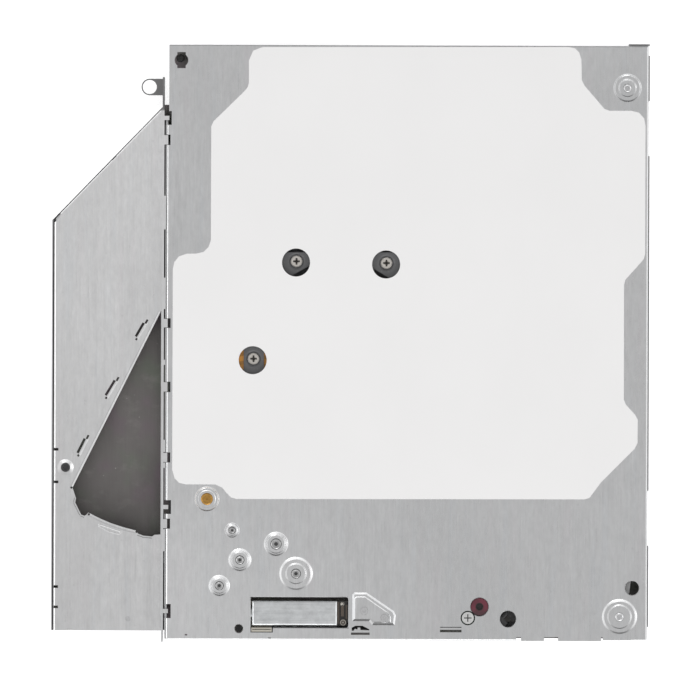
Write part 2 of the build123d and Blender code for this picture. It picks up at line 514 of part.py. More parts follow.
cap += box(-1.78, -1.12, -58.45, -56.25, 11.3, 11.75)
cap += ring_solid(-1.47, -55.80, [(0, 11.2), (0.42, 11.2), (0.36, 11.5), (0.15, 11.65), (0, 11.65)])
cap += cyl(-1.30, -59.75, 0.64, 11.3, 11.85) - cyl(-1.30, -59.75, 0.44, 11.6, 12) + cyl(-1.30, -59.75, 0.2, 11.3, 11.8)
cap += box(-0.75, -0.45, -59.0, -56.0, 11.3, 11.6)
keep("motor_end_cap", cap)
mb = box(-25.2, -1.5, -59.55, -55.2, 6.1, 6.4)
mb += box(-22.1, -21.6, -59.55, -56.0, 6.1, 8.0)
mb -= cyl_x(WORM_Y, WORM_Z, 1.7, -23, -21)
mb += box(-24.6, -22.6, -61.9, -59.4, 6.1, 6.4)
# spring clip standing in front of the can, its folded end seen beside the window
mb += box(-20.9, -16.55, -61.75, -59.5, 6.1, 6.4) + box(-20.9, -16.55, -61.75, -60.88, 6.1, 12.28)
mb -= box(-20.7, -16.75, -61.32, -61.16, 7.0, 12.5)
mb += cyl(-23.59, -61.08, 0.75, 6.1, 10.4)
mb -= cyl(-23.59, -61.08, 0.4, 8, PLATE_IN + 1)
keep("motor_bracket", mb)
sc = cyl(-23.59, -61.08, 0.38, 8.4, 10.5) + cyl(-23.59, -61.08, 0.75, 10.42, 10.9) - cyl(-23.59, -61.08, 0.35, 10.6, 11)
keep("bracket_screw", sc)

# gear posts, riveted into the dimples
posts = []
for name, r_post, zb in (("A", 0.7, 7.1), ("B", 0.6, 6.5), ("C", 0.6, 6.5), ("D", 0.7, 6.5), ("E", 0.5, 6.5)):
    (x, y), r_core = DIMPLES[name][0], DIMPLES[name][3]
    z = seat(name)
    p = ring_solid(x, y, [(0, z - SHEET), (r_core, z - SHEET), (r_core, z - 0.3), (r_core - 0.13, z - 0.3), (r_core - 0.13, z), (r_core - 0.26, z + 0.06), (r_core * 0.58, z + 0.0), (0, z + 0.0)])
    p += cyl(x, y, r_post, zb, z - SHEET)
    p -= cyl(x, y, r_core * 0.34, z - 0.3, z + 0.2)
    posts.append(p)
keep("gear_posts", posts)
pv = []
for name in ("TR", "BR"):
    (x, y), r_core = DIMPLES[name][0], DIMPLES[name][3]
    z = seat(name)
    p = ring_solid(x, y, [(0, z - SHEET), (r_core, z - SHEET), (r_core, z - 0.3), (r_core - 0.13, z - 0.3), (r_core - 0.13, z), (r_core - 0.26, z + 0.06), (r_core * 0.58, z + 0.0), (0, z + 0.0)])
    p += cyl(x, y, 1.0, 5.45, z - SHEET)
    p += cyl(x, y, 1.6, 6.36, 6.6) + cyl(x, y, 1.6, 5.4, 5.64)
    p -= cyl(x, y, 0.35, z - 0.35, z + 0.2)
    pv.append(p)
keep("lever_posts", pv)
x, y = POST_F
z = seat("F")
bp = ring_solid(x, y, [(0, z - SHEET), (1.30, z - SHEET), (1.30, z - 0.3), (1.22, z - 0.3), (1.22, z), (1.05, z + 0.08), (0.8, z + 0.03), (0, z + 0.03)])
bp += cyl(x, y, 0.9, 5.45, z - SHEET) + cyl(x, y, 1.5, 5.4, 5.64) + cyl(x, y, 1.4, 6.4, 6.7)
bp -= cyl(x, y, 0.25, z - 0.25, z + 0.2)
keep("brass_pivot", bp)

# plate that carries the gears' lower ends
gc = prism([(-27.78, -53.6), (-29.3, -52.5), (-29.2, -50.9), (-26.9, -38.6), (-25.0, -38.3), (-9.6, -48.0), (-10.2, -51.2), (-22, -53.4)], 6.65, 6.95)
for px, py, r in ((POST_B[0], POST_B[1], 0.6), (POST_C[0], POST_C[1], 0.6), (POST_D[0], POST_D[1], 0.7), (POST_E[0], POST_E[1], 0.5)):
    gc -= cyl(px, py, r, 6, 8)
gc += cyl(POST_A[0], POST_A[1], 1.6, 6.65, 7.1) - cyl(POST_D[0], POST_D[1], 0.7, 6, 8)
keep("gear_carrier", gc)

# small front pieces seen through the base plate's holes
rb = cyl(27.85, -56.28, 1.85, 11.2, 12.3) - cyl(27.85, -56.28, 0.7, 11.6, 12.4)
rb += cyl(27.85, -56.28, 1.2, 7.6, 11.2)
rb -= cyl(25.36, -58.68, 1.62, 10, 13)
keep("sensor_bush", rb)
ss = cyl(25.36, -58.68, 1.28, 11.95, 12.5) + cyl(25.36, -58.68, 0.6, 8.4, 12.0)
ss -= box(24.56, 26.16, -58.8, -58.56, 12.2, 12.6)
ss -= box(25.24, 25.48, -59.48, -57.88, 12.2, 12.6)
keep("front_screw", ss)
sb = box(22.8, 29.6, -57.4, -54.4, 7.0, 8.0) + box(22.8, 27.4, -60.6, -57.3, 7.0, 8.0) - cyl(25.36, -58.68, 0.62, 6, 9) - cyl(27.85, -56.28, 1.22, 7.6, 9)
keep("sensor_board", sb)

# wing rivets and pocket rivets
wr = [cyl(-60.83, -26.82, 0.96, WING_TOP - 0.26, WING_TOP - 0.14) + cyl(-60.83, -26.82, 0.74, WING_IN - 0.6, WING_TOP - 0.2) - cyl(-60.83, -26.82, 0.6, WING_IN - 0.5, WING_TOP),
      cyl(-47.38, -59.21, 0.54, WING_IN - 0.2, WING_TOP + 0.05)]
for x, y in ((3.22, -57.23), (7.56, -58.72)):
    r_ = cyl(x, y, 0.8, 11.6, PLATE_TOP - 0.12) - cyl(x, y, 0.35, PLATE_TOP - 0.5, PLATE_TOP)
    wr.append(r_)
keep("frame_rivets", wr)

# ================================================================ gear train
Z_C, Z_CP = 20, 10
Z_B, Z_BP = 22, 10
Z_E, Z_EP = 22, 16
Z_F = 22
M_W = 0.4
M_CB = 2 * dist(POST_C, POST_B) / (Z_CP + Z_B)
M_BE = 2 * dist(POST_B, POST_E) / (Z_BP + Z_E)
M_EF = 2 * dist(POST_E, POST_F) / (Z_EP + Z_F)
R_F = M_EF * Z_F / 2
RACK_X = POST_F[0] - R_F

PH_F = math.pi                       # a tooth of the last gear points at the rack
PH_EP = mate_phase(POST_F, POST_E, Z_F, PH_F, Z_EP)
PH_E = 0.0
PH_BP = mate_phase(POST_E, POST_B, Z_E, PH_E, Z_BP)
PH_B = 0.0
PH_CP = mate_phase(POST_B, POST_C, Z_B, PH_B, Z_CP)
PH_C = -math.pi / 2                  # a tooth of the worm wheel points at the worm

gf = gear(M_EF, Z_F, 7.5, 8.7, POST_F, PH_F)
gf += cyl(POST_F[0], POST_F[1], 1.8, 6.75, 11.6)
gf -= cyl(POST_F[0], POST_F[1], 0.9 + FIT, 6, 12)
keep("rack_gear", gf)

ge = gear(M_BE, Z_E, 8.9, 10.1, POST_E, PH_E) + gear(M_EF, Z_EP, 7.3, 8.95, POST_E, PH_EP)
ge += cyl(POST_E[0], POST_E[1], 1.2, 7.0, 11.5)
ge -= cyl(POST_E[0], POST_E[1], 0.5 + FIT, 6, 12)
keep("step_gear_upper", ge)

gb = gear(M_CB, Z_B, 10.45, 11.45, POST_B, PH_B) + gear(M_BE, Z_BP, 8.8, 10.5, POST_B, PH_BP)
gb += cyl(POST_B[0], POST_B[1], 1.1, 7.0, 9.0)
gb -= cyl(POST_B[0], POST_B[1], 0.6 + FIT, 6, 12)
keep("step_gear_middle", gb)

gcw = gear(M_W, Z_C, 8.75, 9.65, POST_C, PH_C, add=0.18, ded=0.5, slack=0.24) + gear(M_CB, Z_CP, 9.6, 11.45, POST_C, PH_CP)
gcw += cyl(POST_C[0], POST_C[1], 1.3, 7.0, 8.8)
gcw -= cyl(POST_C[0], POST_C[1], 0.6 + FIT, 6, 12)
keep("worm_wheel", gcw)

# worm: an off-centre round section wound along the motor's shaft
W_P = math.pi * M_W
W_L = 6.6
W_X0 = POST_C[0] - W_L / 2
W_R = abs(POST_C[1] - WORM_Y) - M_W * Z_C / 2
wsec = (Pos(0.35, 0, 0) * Circle(W_R)).face()
worm = Solid.extrude_linear_with_rotation(wsec, center=(0, 0, 0), normal=(0, 0, W_L), angle=360 * W_L / W_P)
# the section's high side faces the wheel midway between two of its teeth
PHASE_WORM = 0.0
worm = Pos(W_X0, WORM_Y, WORM_Z) * Rot(0, 90, 0) * Rot(0, 0, PHASE_WORM) * worm
worm = worm + cyl_x(WORM_Y, WORM_Z, 0.5, W_X0 - 0.8, CAN_X0 + 3.0)
keep("loading_worm", worm)

# cam slider: rack on its gear side, cam slot near its rear end
sl = box(-38.6, -36.3, -47.0, 12.0, 7.1, 11.4)
sl += box(-36.35, -35.98, -47.0, -24.0, 7.1, 9.1)
p = math.pi * M_EF
add, ded = 0.85 * M_EF, 1.2 * M_EF
teeth = []
base_x = RACK_X - ded
tooth_h = ded + add
slack = 0.10
k0 = int((-46.0 - POST_F[1]) / p)
k1 = int((-24.5 - POST_F[1]) / p)
rack_pts = [(base_x - 0.6, -47.0)]
for k in range(k0, k1 + 1):
    # gaps face the gear's tooth at rest, so teeth sit half a pitch away
    yc = POST_F[1] + (k + 0.5) * p
    hw = p / 4 - slack / 2
    tn = math.tan(math.radians(20))
    rack_pts += [(base_x, yc - hw - ded * tn), (RACK_X + add, yc - hw + add * tn), (RACK_X + add, yc + hw - add * tn), (base_x, yc + hw + ded * tn)]
rack_pts += [(base_x - 0.6, -24.0)]
sl -= box(base_x, -35.9, -48, -23.0, 5, 12)
sl += prism(rack_pts, 7.5, 8.7)
# cam plate
sl += box(-38.6, -36.3, -10.0, 7.5, 5.75, 11.85)
px_, py_ = PIN_GLOBAL
pin_r = 0.6
PIN_Z = 10.9
PIN_D = (math.hypot(0, 0) + TILT_X - ((px_ - DISC_CX) * math.cos(math.radians(45)) - (py_ - DISC_CY) * math.sin(math.radians(45))))
DROP = PIN_D * math.sin(TILT)
slot = cyl_x(py_, PIN_Z, pin_r + 0.14, -39, -36) + cyl_x(py_ - SLIDE_TRAVEL, PIN_Z - DROP, pin_r + 0.14, -39, -36)
ang = math.degrees(math.atan2(DROP, SLIDE_TRAVEL))
slot += Pos(-37.5, py_ - SLIDE_TRAVEL / 2, PIN_Z - DROP / 2) * Rot(ang, 0, 0) * Box(3, math.hypot(DROP, SLIDE_TRAVEL), 2 * (pin_r + 0.14))
sl -= slot
keep("cam_slider", sl)
# hooked guides that hold the slider up under the base plate
gd = []
for y0, y1, xr in ((17.4, 19.4, -36.1), (-13.6, -11.2, -36.1), (-44.0, -41.5, -34.85)):
    gd.append(box(xr, xr + 0.8, y0, y1, 6.6, PLATE_IN) + box(-38.4, xr + 0.1, y0, y1, 6.6, 7.0))
keep("slider_guides", gd)

# ================================================================ disc levers
TIP_L = (-61.4, -44.0)
TIP_R = (61.5, -20.0)
TIP_E = (20.0, 61.2)


def lever(pivot, way, tip, r_hole, w=3.0):
    pts = [pivot] + way + [tip]
    s = cyl(pivot[0], pivot[1], 2.4, LEVER_Z0, LEVER_Z1)
    for i in range(len(pts) - 1):
        s += bar(pts[i], pts[i + 1], w if i < len(pts) - 2 else 2.0, LEVER_Z0, LEVER_Z1)
    s -= cyl(pivot[0], pivot[1], r_hole, 5, 7)
    # pin that carries the guide, down into the disc space
    s += cyl(tip[0], tip[1], 0.45, 1.6, LEVER_Z0 + 0.1)
    s += cyl(tip[0], tip[1], 0.75, 1.4, 1.7)
    return s


def boss(tip):
    """Moulded guide pressed on the lever's pin, waisted so that the disc's edge centres itself."""
    b = ring_solid(tip[0], tip[1], [(0.45, 1.8), (0.95, 1.8), (0.95, 2.3), (0.70, 3.0), (0.70, 3.6), (0.95, 4.3), (0.95, 5.3), (0.45, 5.3)])
    return b


keep("lever_left", lever(POST_F, [(-36.0, -45.5), (-52.0, -46.5)], TIP_L, 0.9 + FIT))
keep("lever_right", lever(PIVOT_BR, [(60.2, -40.0)], TIP_R, 1.0 + FIT))
keep("lever_eject", lever(PIVOT_TR, [(40.0, 60.4)], TIP_E, 1.0 + FIT, w=3.4))
keep("guide_left", boss(TIP_L))
keep("guide_right", boss(TIP_R))
keep("guide_eject", boss(TIP_E))

# ================================================================ traverse (local axis x' from the spindle outwards)
TL = Pos(DISC_CX, DISC_CY, 0) * Rot(0, 0, TRAV_ANGLE)


def to_local(x, y):
    c = math.cos(math.radians(45))
    return ((x - DISC_CX) * c - (y - DISC_CY) * c, (x - DISC_CX) * c + (y - DISC_CY) * c)


FR_Z0, FR_Z1 = 8.6, 9.4
frame = prism([(-24, -18), (-24, 18), (66.0, 18), (68, 16.5), (68, -15.5), (66.0, -17.0), (-10, -18)], FR_Z0, FR_Z1)
frame -= cyl(0, 0, 14.2, 8, 10)
frame -= box(13.5, 65.0, -15.0, 15.0, 8, 10)
# rail blocks at both ends of the window
for x0, x1 in ((14.6, 16.2), (63.2, 65.0)):
    for yc in (-13.0, 11.0):
        frame += box(x0, x1, yc - 2.0, yc + 2.0, 8.0, 10.6)
frame += box(14.6, 16.2, -15.5, -11, 8.6, 9.4) + box(14.6, 16.2, 9.0, 15.5, 8.6, 9.4)
frame += box(63.2, 65.2, -15.5, -11, 8.6, 9.4) + box(63.2, 65.2, 9.0, 15.5, 8.6, 9.4)
for yc in (-13.0, 11.0):
    frame -= Pos(0, yc, 9.3) * Rot(0, 90, 0) * Cylinder(1.0, 200) & box(14.0, 65.5, -16, 16, 7, 11)
# room for the lead screw and its motor
frame -= box(15.8, 54.3, 14.9, 17.3, 8, 10)
frame -= box(54.2, 61.9, 13.0, 19.0, 8, 12)
frame += box(14.7, 15.8, 14.3, 17.5, 8.0, 10.4)
frame -= Pos(15, 15.9, 9.2) * Rot(0, 90, 0) * Cylinder(0.5 + FIT, 4)
# turned-up rims
frame += box(-24, -20, -18, -17.5, FR_Z0, 10.4)
frame += box(16, 54.2, 17.3, 18, FR_Z0, 10.8)
frame += box(20, 60, -17.9, -17.4, FR_Z0, 10.8)
# tilt pins
for sgn, y_edge in ((1, 17.4), (-1, 16.4)):
    frame += Pos(TILT_X, sgn * (y_edge + 21.2) / 2, 9.0) * Rot(90, 0, 0) * Cylinder(0.7, 21.2 - y_edge)
# lift arm and its pin
lx, ly = to_local(px_ + 3.4, py_)
frame += prism([(-24, -18), (-24, -11.0), (lx - 2.2, ly + 1.8), (lx - 1.4, ly - 1.8), (lx + 1.6, ly - 1.6), (-17, -18)], FR_Z0, FR_Z1)
frame_g = TL * frame
frame_g += box(-34.4, -32.0, py_ - 1.5, py_ + 1.5, FR_Z0, 11.7)
frame_g += cyl_x(py_, PIN_Z, pin_r, -38.3, -33.5)
# stand-offs for the spindle plate
for x, y in SKEW:
    frame_g += cyl(x, y, 2.3, FR_Z0 + 0.1, 10.2)
    frame_g -= cyl(x, y, 0.55, 7, 12)
keep("traverse_frame", frame_g)

keep("guide_rails", [TL * (Pos(39.8, -13.0, 9.3) * Rot(0, 90, 0) * Cylinder(1.0, 50.4)), TL * (Pos(39.8, 11.0, 9.3) * Rot(0, 90, 0) * Cylinder(1.0, 50.4))])

# spindle plate: lugs reach out to the three adjusting screws
plate = cyl(DISC_CX, DISC_CY, 8.0, 11.2, 11.8)
plate += prism([(-16.5, 19.34), (-6.5, 19.34), (-6.5, 17.71), (-11.84, 14.73), (-16.5, 12.12), (-18.0, 13.2), (-18.0, 18.0)], 11.2, 11.8)
plate += prism([(3.0, 19.40), (12.5, 19.40), (13.6, 18.0), (13.6, 12.6), (12.5, 11.44), (8.29, 13.94), (5.01, 15.89), (3.0, 17.08)], 11.2, 11.8)
plate += prism([(-22.7, -6.75), (-18.4, -6.75), (-18.4, 4.5), (-22.7, 4.5)], 11.2, 11.8)
for q in ((-16.3, 13.6), (12.0, 13.4), (-20.6, 4.5)):
    plate += bar((DISC_CX, DISC_CY), q, 3.2, 11.2, 11.8)
for x, y in SKEW:
    plate -= cyl(x, y, 0.62, 11, 12)
    plate -= ring_solid(x, y, [(0, 12.0), (2.1, 12.0), (1.8, 11.8), (1.5, 11.64), (1.5, 11.5), (0, 11.5)])
plate -= cyl(DISC_CX, DISC_CY, 2.9, 11, 12)
keep("spindle_plate", plate)
sk, dm = [], []
for x, y in SKEW:
    s = ring_solid(x, y, [(0, 9.0), (0.5, 9.0), (0.5, 11.5), (1.24, 11.5), (1.24, 11.86), (1.08, 12.0), (0, 12.0)])
    s -= box(x - 0.72, x + 0.72, y - 0.19, y + 0.19, 11.72, 12.2)
    s -= box(x - 0.19, x + 0.19, y - 0.72, y + 0.72, 11.72, 12.2)
    s -= ring_solid(x, y, [(0, 12.1), (0.5, 12.1), (0.5, 12.0), (0.1, 11.6), (0, 11.6)])
    sk.append(s)
    dm.append(cyl(x, y, 1.6, 10.2, 11.2) - cyl(x, y, 0.62, 10, 12))
keep("skew_screws", sk)
keep("skew_springs", dm)
# motor flex: runs under the lug of the left screw
flex = prism([(-24.4, -6.0), (-24.4, -1.4), (-16.5, -1.2), (-10.0, 0.6), (-9.4, -4.6), (-16.0, -6.2)], 11.02, 11.14)
flex -= cyl(SKEW[2][0], SKEW[2][1], 1.75, 10, 12)
flex -= cyl(DISC_CX, DISC_CY, 9.0, 10, 12)
keep("spindle_flex", flex)

# stator: laminated core with coils round a bearing tube
bear = cyl(DISC_CX, DISC_CY, 2.9, 8.2, 11.9) - cyl(DISC_CX, DISC_CY, 1.0 + FIT, 8, 11.4)
keep("spindle_bearing", bear)
core = cyl(0, 0, 4.6, 9.0, 10.2) - cyl(0, 0, 2.9, 8, 12)
coils = []
for k in range(9):
    a = 40 * k
    tooth = Rot(0, 0, a) * (box(4.3, 10.2, -0.6, 0.6, 9.0, 10.2) + (box(9.6, 10.8, -2.6, 2.6, 9.0, 10.2) & cyl(0, 0, 10.8, 8, 12)))
    core += tooth
    coil = Rot(0, 0, a) * (box(5.4, 9.3, -1.15, 1.15, 8.6, 10.6) - box(5, 10, -0.6, 0.6, 9.0, 10.2))
    coils.append(Pos(DISC_CX, DISC_CY, 0) * coil)
keep("stator_core", Pos(DISC_CX, DISC_CY, 0) * core)
keep("stator_coils", coils)

# rotor: bell, shaft, turntable and centring hub
bell = cyl(0, 0, 12.9, 7.2, 10.4) - cyl(0, 0, 12.4, 7.7, 11)
bell -= cyl(0, 0, 11.3, 7.7, 8.3)
bell += cyl(0, 0, 12.45, 7.2, 7.75)
bell += cyl(0, 0, 1.0, 7.2, 11.2)
bell -= cyl(0, 0, 3.4, 7.75, 8.1) - cyl(0, 0, 1.0, 7, 12)
keep("rotor_bell", Pos(DISC_CX, DISC_CY, 0) * bell)
mag = cyl(0, 0, 12.4, 8.3, 10.3) - cyl(0, 0, 11.2, 8, 11)
keep("rotor_magnet", Pos(DISC_CX, DISC_CY, 0) * mag)
hub = ring_solid(0, 0, [(0.0, 5.45), (5.6, 5.45), (6.9, 6.3), (7.3, 6.9), (7.3, 7.2), (0.0, 7.2)])
for k in range(3):
    hub -= Rot(0, 0, 120 * k) * box(5.2, 8.0, -1.0, 1.0, 5.7, 7.0)
keep("centring_hub", Pos(DISC_CX, DISC_CY, 0) * hub)
keep("hub_catches", [Pos(DISC_CX, DISC_CY, 0) * Rot(0, 0, 120 * k) * box(5.2, 7.35, -0.9, 0.9, 5.95, 6.85) for k in range(3)])
ttr = cyl(0, 0, 12.0, 6.85, 7.2) - cyl(0, 0, 8.6, 6, 8)
keep("turntable_ring", Pos(DISC_CX, DISC_CY, 0) * ttr)

# ================================================================ pickup
SLED_X = 24.0   # lens position on the traverse axis at rest
sled = box(SLED_X - 6.8, SLED_X + 5.1, -10.6, 9.0, 7.4, 10.9)
sled += box(SLED_X - 6.8, SLED_X + 5.1, -14.6, -10.5, 7.9, 10.8)
sled += box(SLED_X - 3.0, SLED_X + 3.0, 8.9, 12.6, 8.0, 10.6)
sled -= Pos(SLED_X, -13.0, 9.3) * Rot(0, 90, 0) * Cylinder(1.0 + FIT, 60)
sled -= Pos(SLED_X, 11.0, 9.3) * Rot(0, 90, 0) * Cylinder(1.0 + FIT, 60)
sled -= box(SLED_X - 4.4, SLED_X + 4.4, -5.2, 5.2, 6.0, 9.6)
# arm with a tooth that rides in the lead screw's groove
LS_Y, LS_Z = 15.9, 9.2
LS_P = 3.0
LS_X0, LS_L = 16.3, 37.4
NUT_X = SLED_X - 6.4
sled += box(NUT_X - 0.4, NUT_X + 0.6, 8.0, 14.4, 10.75, 11.15) + box(NUT_X - 0.4, NUT_X + 0.6, 8.0, 9.0, 10.0, 11.15)
sled += box(NUT_X - 0.35, NUT_X + 0.35, 13.7, 14.45, 8.7, 10.8)
sled += Pos(NUT_X, 14.7, LS_Z) * Rot(90, 0, 0) * Cylinder(0.2, 0.6)
sled -= box(SLED_X - 5.6, SLED_X + 1.5, -9.8, -6.4, 9.0, 12.0)
keep("pickup_sled", TL * sled)
laser = box(SLED_X - 5.5, SLED_X + 1.4, -9.7, -6.5, 9.0, 10.7)
keep("laser_unit", TL * laser)
cov = box(SLED_X - 6.0, SLED_X + 4.9, -5.8, 5.8, 7.15, 7.4) - box(SLED_X - 3.9, SLED_X + 3.9, -4.7, 4.7, 7, 8)
keep("pickup_cover", TL * cov)
lh = box(SLED_X - 3.4, SLED_X + 3.4, -4.2, 4.2, 7.5, 8.9)
lh += cyl(SLED_X, 0, 2.4, 7.0, 7.6)
lh -= cyl(SLED_X, 0, 1.9, 6.5, 7.5)
lh -= cyl(SLED_X, 0, 1.2, 6.5, 9.5)
keep("lens_holder", TL * lh)
lens = ring_solid(SLED_X, 0, [(0.0, 6.85), (0.8, 6.9), (1.4, 7.1), (1.88, 7.3), (1.88, 7.5), (0.0, 7.5)])
keep("objective_lens", TL * lens)
coilset = [TL * (box(SLED_X + sx * 3.75 - 0.25, SLED_X + sx * 3.75 + 0.25, -3.4, 3.4, 7.7, 9.2)) for sx in (-1, 1)]
keep("focus_magnets", coilset)

# lead screw beside the second rail, with its stepper motor on the frame's outer end
lsec = (Pos(0.25, 0, 0) * Circle(1.0)).face()
ls = Solid.extrude_linear_with_rotation(lsec, center=(0, 0, 0), normal=(0, 0, LS_L), angle=360 * LS_L / LS_P)
# turned so that its groove faces the sled at the tooth
ls = Pos(LS_X0, LS_Y, LS_Z) * Rot(0, 90, 0) * Rot(0, 0, 90 - 360 * (NUT_X - LS_X0) / LS_P) * ls
ls += Pos((14.9 + 57.0) / 2, LS_Y, LS_Z) * Rot(0, 90, 0) * Cylinder(0.5, 57.0 - 14.9)
keep("lead_screw", TL * ls)
mot = Pos(58.4, LS_Y, LS_Z) * Rot(0, 90, 0) * Cylinder(2.5, 6.4)
mot -= Pos(56.4, LS_Y, LS_Z) * Rot(0, 90, 0) * Cylinder(0.5 + FIT, 4.0)
mot += box(54.35, 55.2, 13.1, 17.9, 7.2, 11.4) - Pos(54.4, LS_Y, LS_Z) * Rot(0, 90, 0) * Cylinder(0.5 + FIT, 8.0)
keep("sled_stepper", TL * mot)

# blocks that hold the traverse's tilt pins, riveted under the base plate
blocks = []
for sgn, y0, y1 in ((1, 18.6, 21.6), (-1, 18.0, 21.0)):
    ya, yb = sorted((sgn * y0, sgn * y1))
    b = box(TILT_X - 1.9, TILT_X + 1.9, ya, yb, 7.6, PLATE_IN)
    b -= Pos(TILT_X, 0, 9.0) * Rot(90, 0, 0) * Cylinder(0.7 + FIT, 80)
    blocks.append(TL * b)
keep("tilt_blocks", blocks)
print("done", M_CB, M_BE, M_EF, R_F, RACK_X, PIN_D, DROP, W_P, W_R)
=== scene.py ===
import math

import bmesh
import bpy
from mathutils import Matrix, Vector

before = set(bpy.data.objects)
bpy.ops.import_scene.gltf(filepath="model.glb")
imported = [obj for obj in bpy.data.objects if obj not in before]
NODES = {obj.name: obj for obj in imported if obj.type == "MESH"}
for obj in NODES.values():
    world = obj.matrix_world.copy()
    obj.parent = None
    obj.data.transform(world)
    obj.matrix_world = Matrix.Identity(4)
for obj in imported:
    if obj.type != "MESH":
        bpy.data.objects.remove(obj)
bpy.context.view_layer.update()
MM = 0.001

# ---------------------------------------------------------------- camera
# 4.68 pixels to a millimetre at the plate's outer face, in a square frame 700 pixels wide
DIST = 3.0
SPAN = 700 / 4.68 * MM
cam_data = bpy.data.cameras.new("photo_camera")
cam_data.type = "PERSP"
cam_data.sensor_fit = "HORIZONTAL"
cam_data.sensor_width = 36.0
cam_data.lens = 36.0 * DIST / SPAN
cam_data.dof.use_dof = False
cam_data.clip_start, cam_data.clip_end = 0.5, 20.0
cam = bpy.data.objects.new("photo_camera", cam_data)
bpy.context.scene.collection.objects.link(cam)
cam.location = (0.0, -1.496 * MM, 12.6 * MM + DIST)
cam.rotation_euler = (0.0, 0.0, 0.0032)
bpy.context.scene.camera = cam

scene = bpy.context.scene
scene.view_settings.view_transform = "Standard"
scene.view_settings.look = "None"
scene.view_settings.exposure = 0.0
scene.view_settings.gamma = 1.0


# ---------------------------------------------------------------- material tools
class Mat:
    def __init__(self, name):
        self.m = bpy.data.materials.new(name)
        self.m.use_nodes = True
        self.t = self.m.node_tree
        self.t.nodes.clear()
        self.out = self.new("ShaderNodeOutputMaterial")
        self.b = self.new("ShaderNodeBsdfPrincipled")
        self.link(self.b.outputs[0], self.out.inputs[0])
        self.coord = self.new("ShaderNodeTexCoord").outputs["Object"]

    def new(self, kind, **kw):
        n = self.t.nodes.new(kind)
        for k, v in kw.items():
            setattr(n, k, v)
        return n

    def link(self, a, b):
        self.t.links.new(a, b)

    def put(self, value, socket):
        if isinstance(value, bpy.types.NodeSocket):
            self.link(value, socket)
        elif isinstance(value, (tuple, list)) and len(value) == 3 and len(socket.default_value) == 4:
            socket.default_value = (*value, 1.0)
        else:
            socket.default_value = value

    def place(self, scale, rot=(0, 0, 0), loc=(0, 0, 0), vec=None):
        n = self.new("ShaderNodeMapping")
        self.link(vec or self.coord, n.inputs["Vector"])
        n.inputs["Scale"].default_value = scale
        n.inputs["Rotation"].default_value = rot
        n.inputs["Location"].default_value = loc
        return n.outputs[0]

    def noise(self, vec, scale=1.0, detail=3.0, rough=0.55, dist=0.0, colour=False):
        n = self.new("ShaderNodeTexNoise")
        self.link(vec, n.inputs["Vector"])
        n.inputs["Scale"].default_value = scale
        n.inputs["Detail"].default_value = detail
        n.inputs["Roughness"].default_value = rough
        n.inputs["Distortion"].default_value = dist
        return n.outputs["Color" if colour else "Fac"]

    def voronoi(self, vec, scale=1.0, feature="F1", out="Distance"):
        n = self.new("ShaderNodeTexVoronoi", feature=feature)
        self.link(vec, n.inputs["Vector"])
        n.inputs["Scale"].default_value = scale
        return n.outputs[out]

    def span(self, v, a, b, c=0.0, d=1.0, smooth=False):
        n = self.new("ShaderNodeMapRange", interpolation_type="SMOOTHSTEP" if smooth else "LINEAR")
        self.put(v, n.inputs["Value"])
        n.inputs["From Min"].default_value = a
        n.inputs["From Max"].default_value = b
        n.inputs["To Min"].default_value = c
        n.inputs["To Max"].default_value = d
        return n.outputs["Result"]

    def math(self, op, a, b=0.0, c=0.0, clamp=False):
        n = self.new("ShaderNodeMath", operation=op)
        n.use_clamp = clamp
        self.put(a, n.inputs[0])
        self.put(b, n.inputs[1])
        self.put(c, n.inputs[2])
        return n.outputs[0]

    def mix(self, fac, a, b, blend="MIX"):
        n = self.new("ShaderNodeMix", data_type="RGBA", blend_type=blend)
        n.clamp_factor = True
        self.put(fac, n.inputs[0])
        self.put(a, n.inputs[6])
        self.put(b, n.inputs[7])
        return n.outputs[2]

    def zone(self, v, a, b, soft=0.02):
        """1 where v (metres) lies between a and b (mm), with soft ends."""
        lo = self.span(v, (a - soft) * MM, (a + soft) * MM)
        hi = self.span(v, (b + soft) * MM, (b - soft) * MM)
        return self.math("MULTIPLY", lo, hi)

    def times(self, col, k):
        """Scale a colour by a factor that may vary over the surface."""
        n = self.new("ShaderNodeCombineColor")
        for i in range(3):
            self.put(k, n.inputs[i])
        return self.mix(1.0, col, n.outputs[0], blend="MULTIPLY")

    def radius(self, x, y, centre):
        dx = self.math("SUBTRACT", x, centre[0] * MM)
        dy = self.math("SUBTRACT", y, centre[1] * MM)
        return self.math("SQRT", self.math("ADD", self.math("MULTIPLY", dx, dx), self.math("MULTIPLY", dy, dy)))

    def xyz(self, vec=None):
        n = self.new("ShaderNodeSeparateXYZ")
        self.link(vec or self.coord, n.inputs[0])
        return n.outputs

    def bump(self, height, distance, strength=1.0, after=None):
        n = self.new("ShaderNodeBump")
        self.link(height, n.inputs["Height"])
        n.inputs["Distance"].default_value = distance
        n.inputs["Strength"].default_value = strength
        if after is not None:
            self.link(after, n.inputs["Normal"])
        return n.outputs[0]

    def done(self, colour, metallic, rough, normal=None, **kw):
        self.put(colour, self.b.inputs["Base Color"])
        self.b.inputs["Metallic"].default_value = metallic
        self.put(rough, self.b.inputs["Roughness"])
        if normal is not None:
            self.link(normal, self.b.inputs["Normal"])
        for k, v in kw.items():
            self.b.inputs[k.replace("_", " ")].default_value = v
        return self.m


def mul(c, k):
    return tuple(min(1.0, x * k) for x in c)


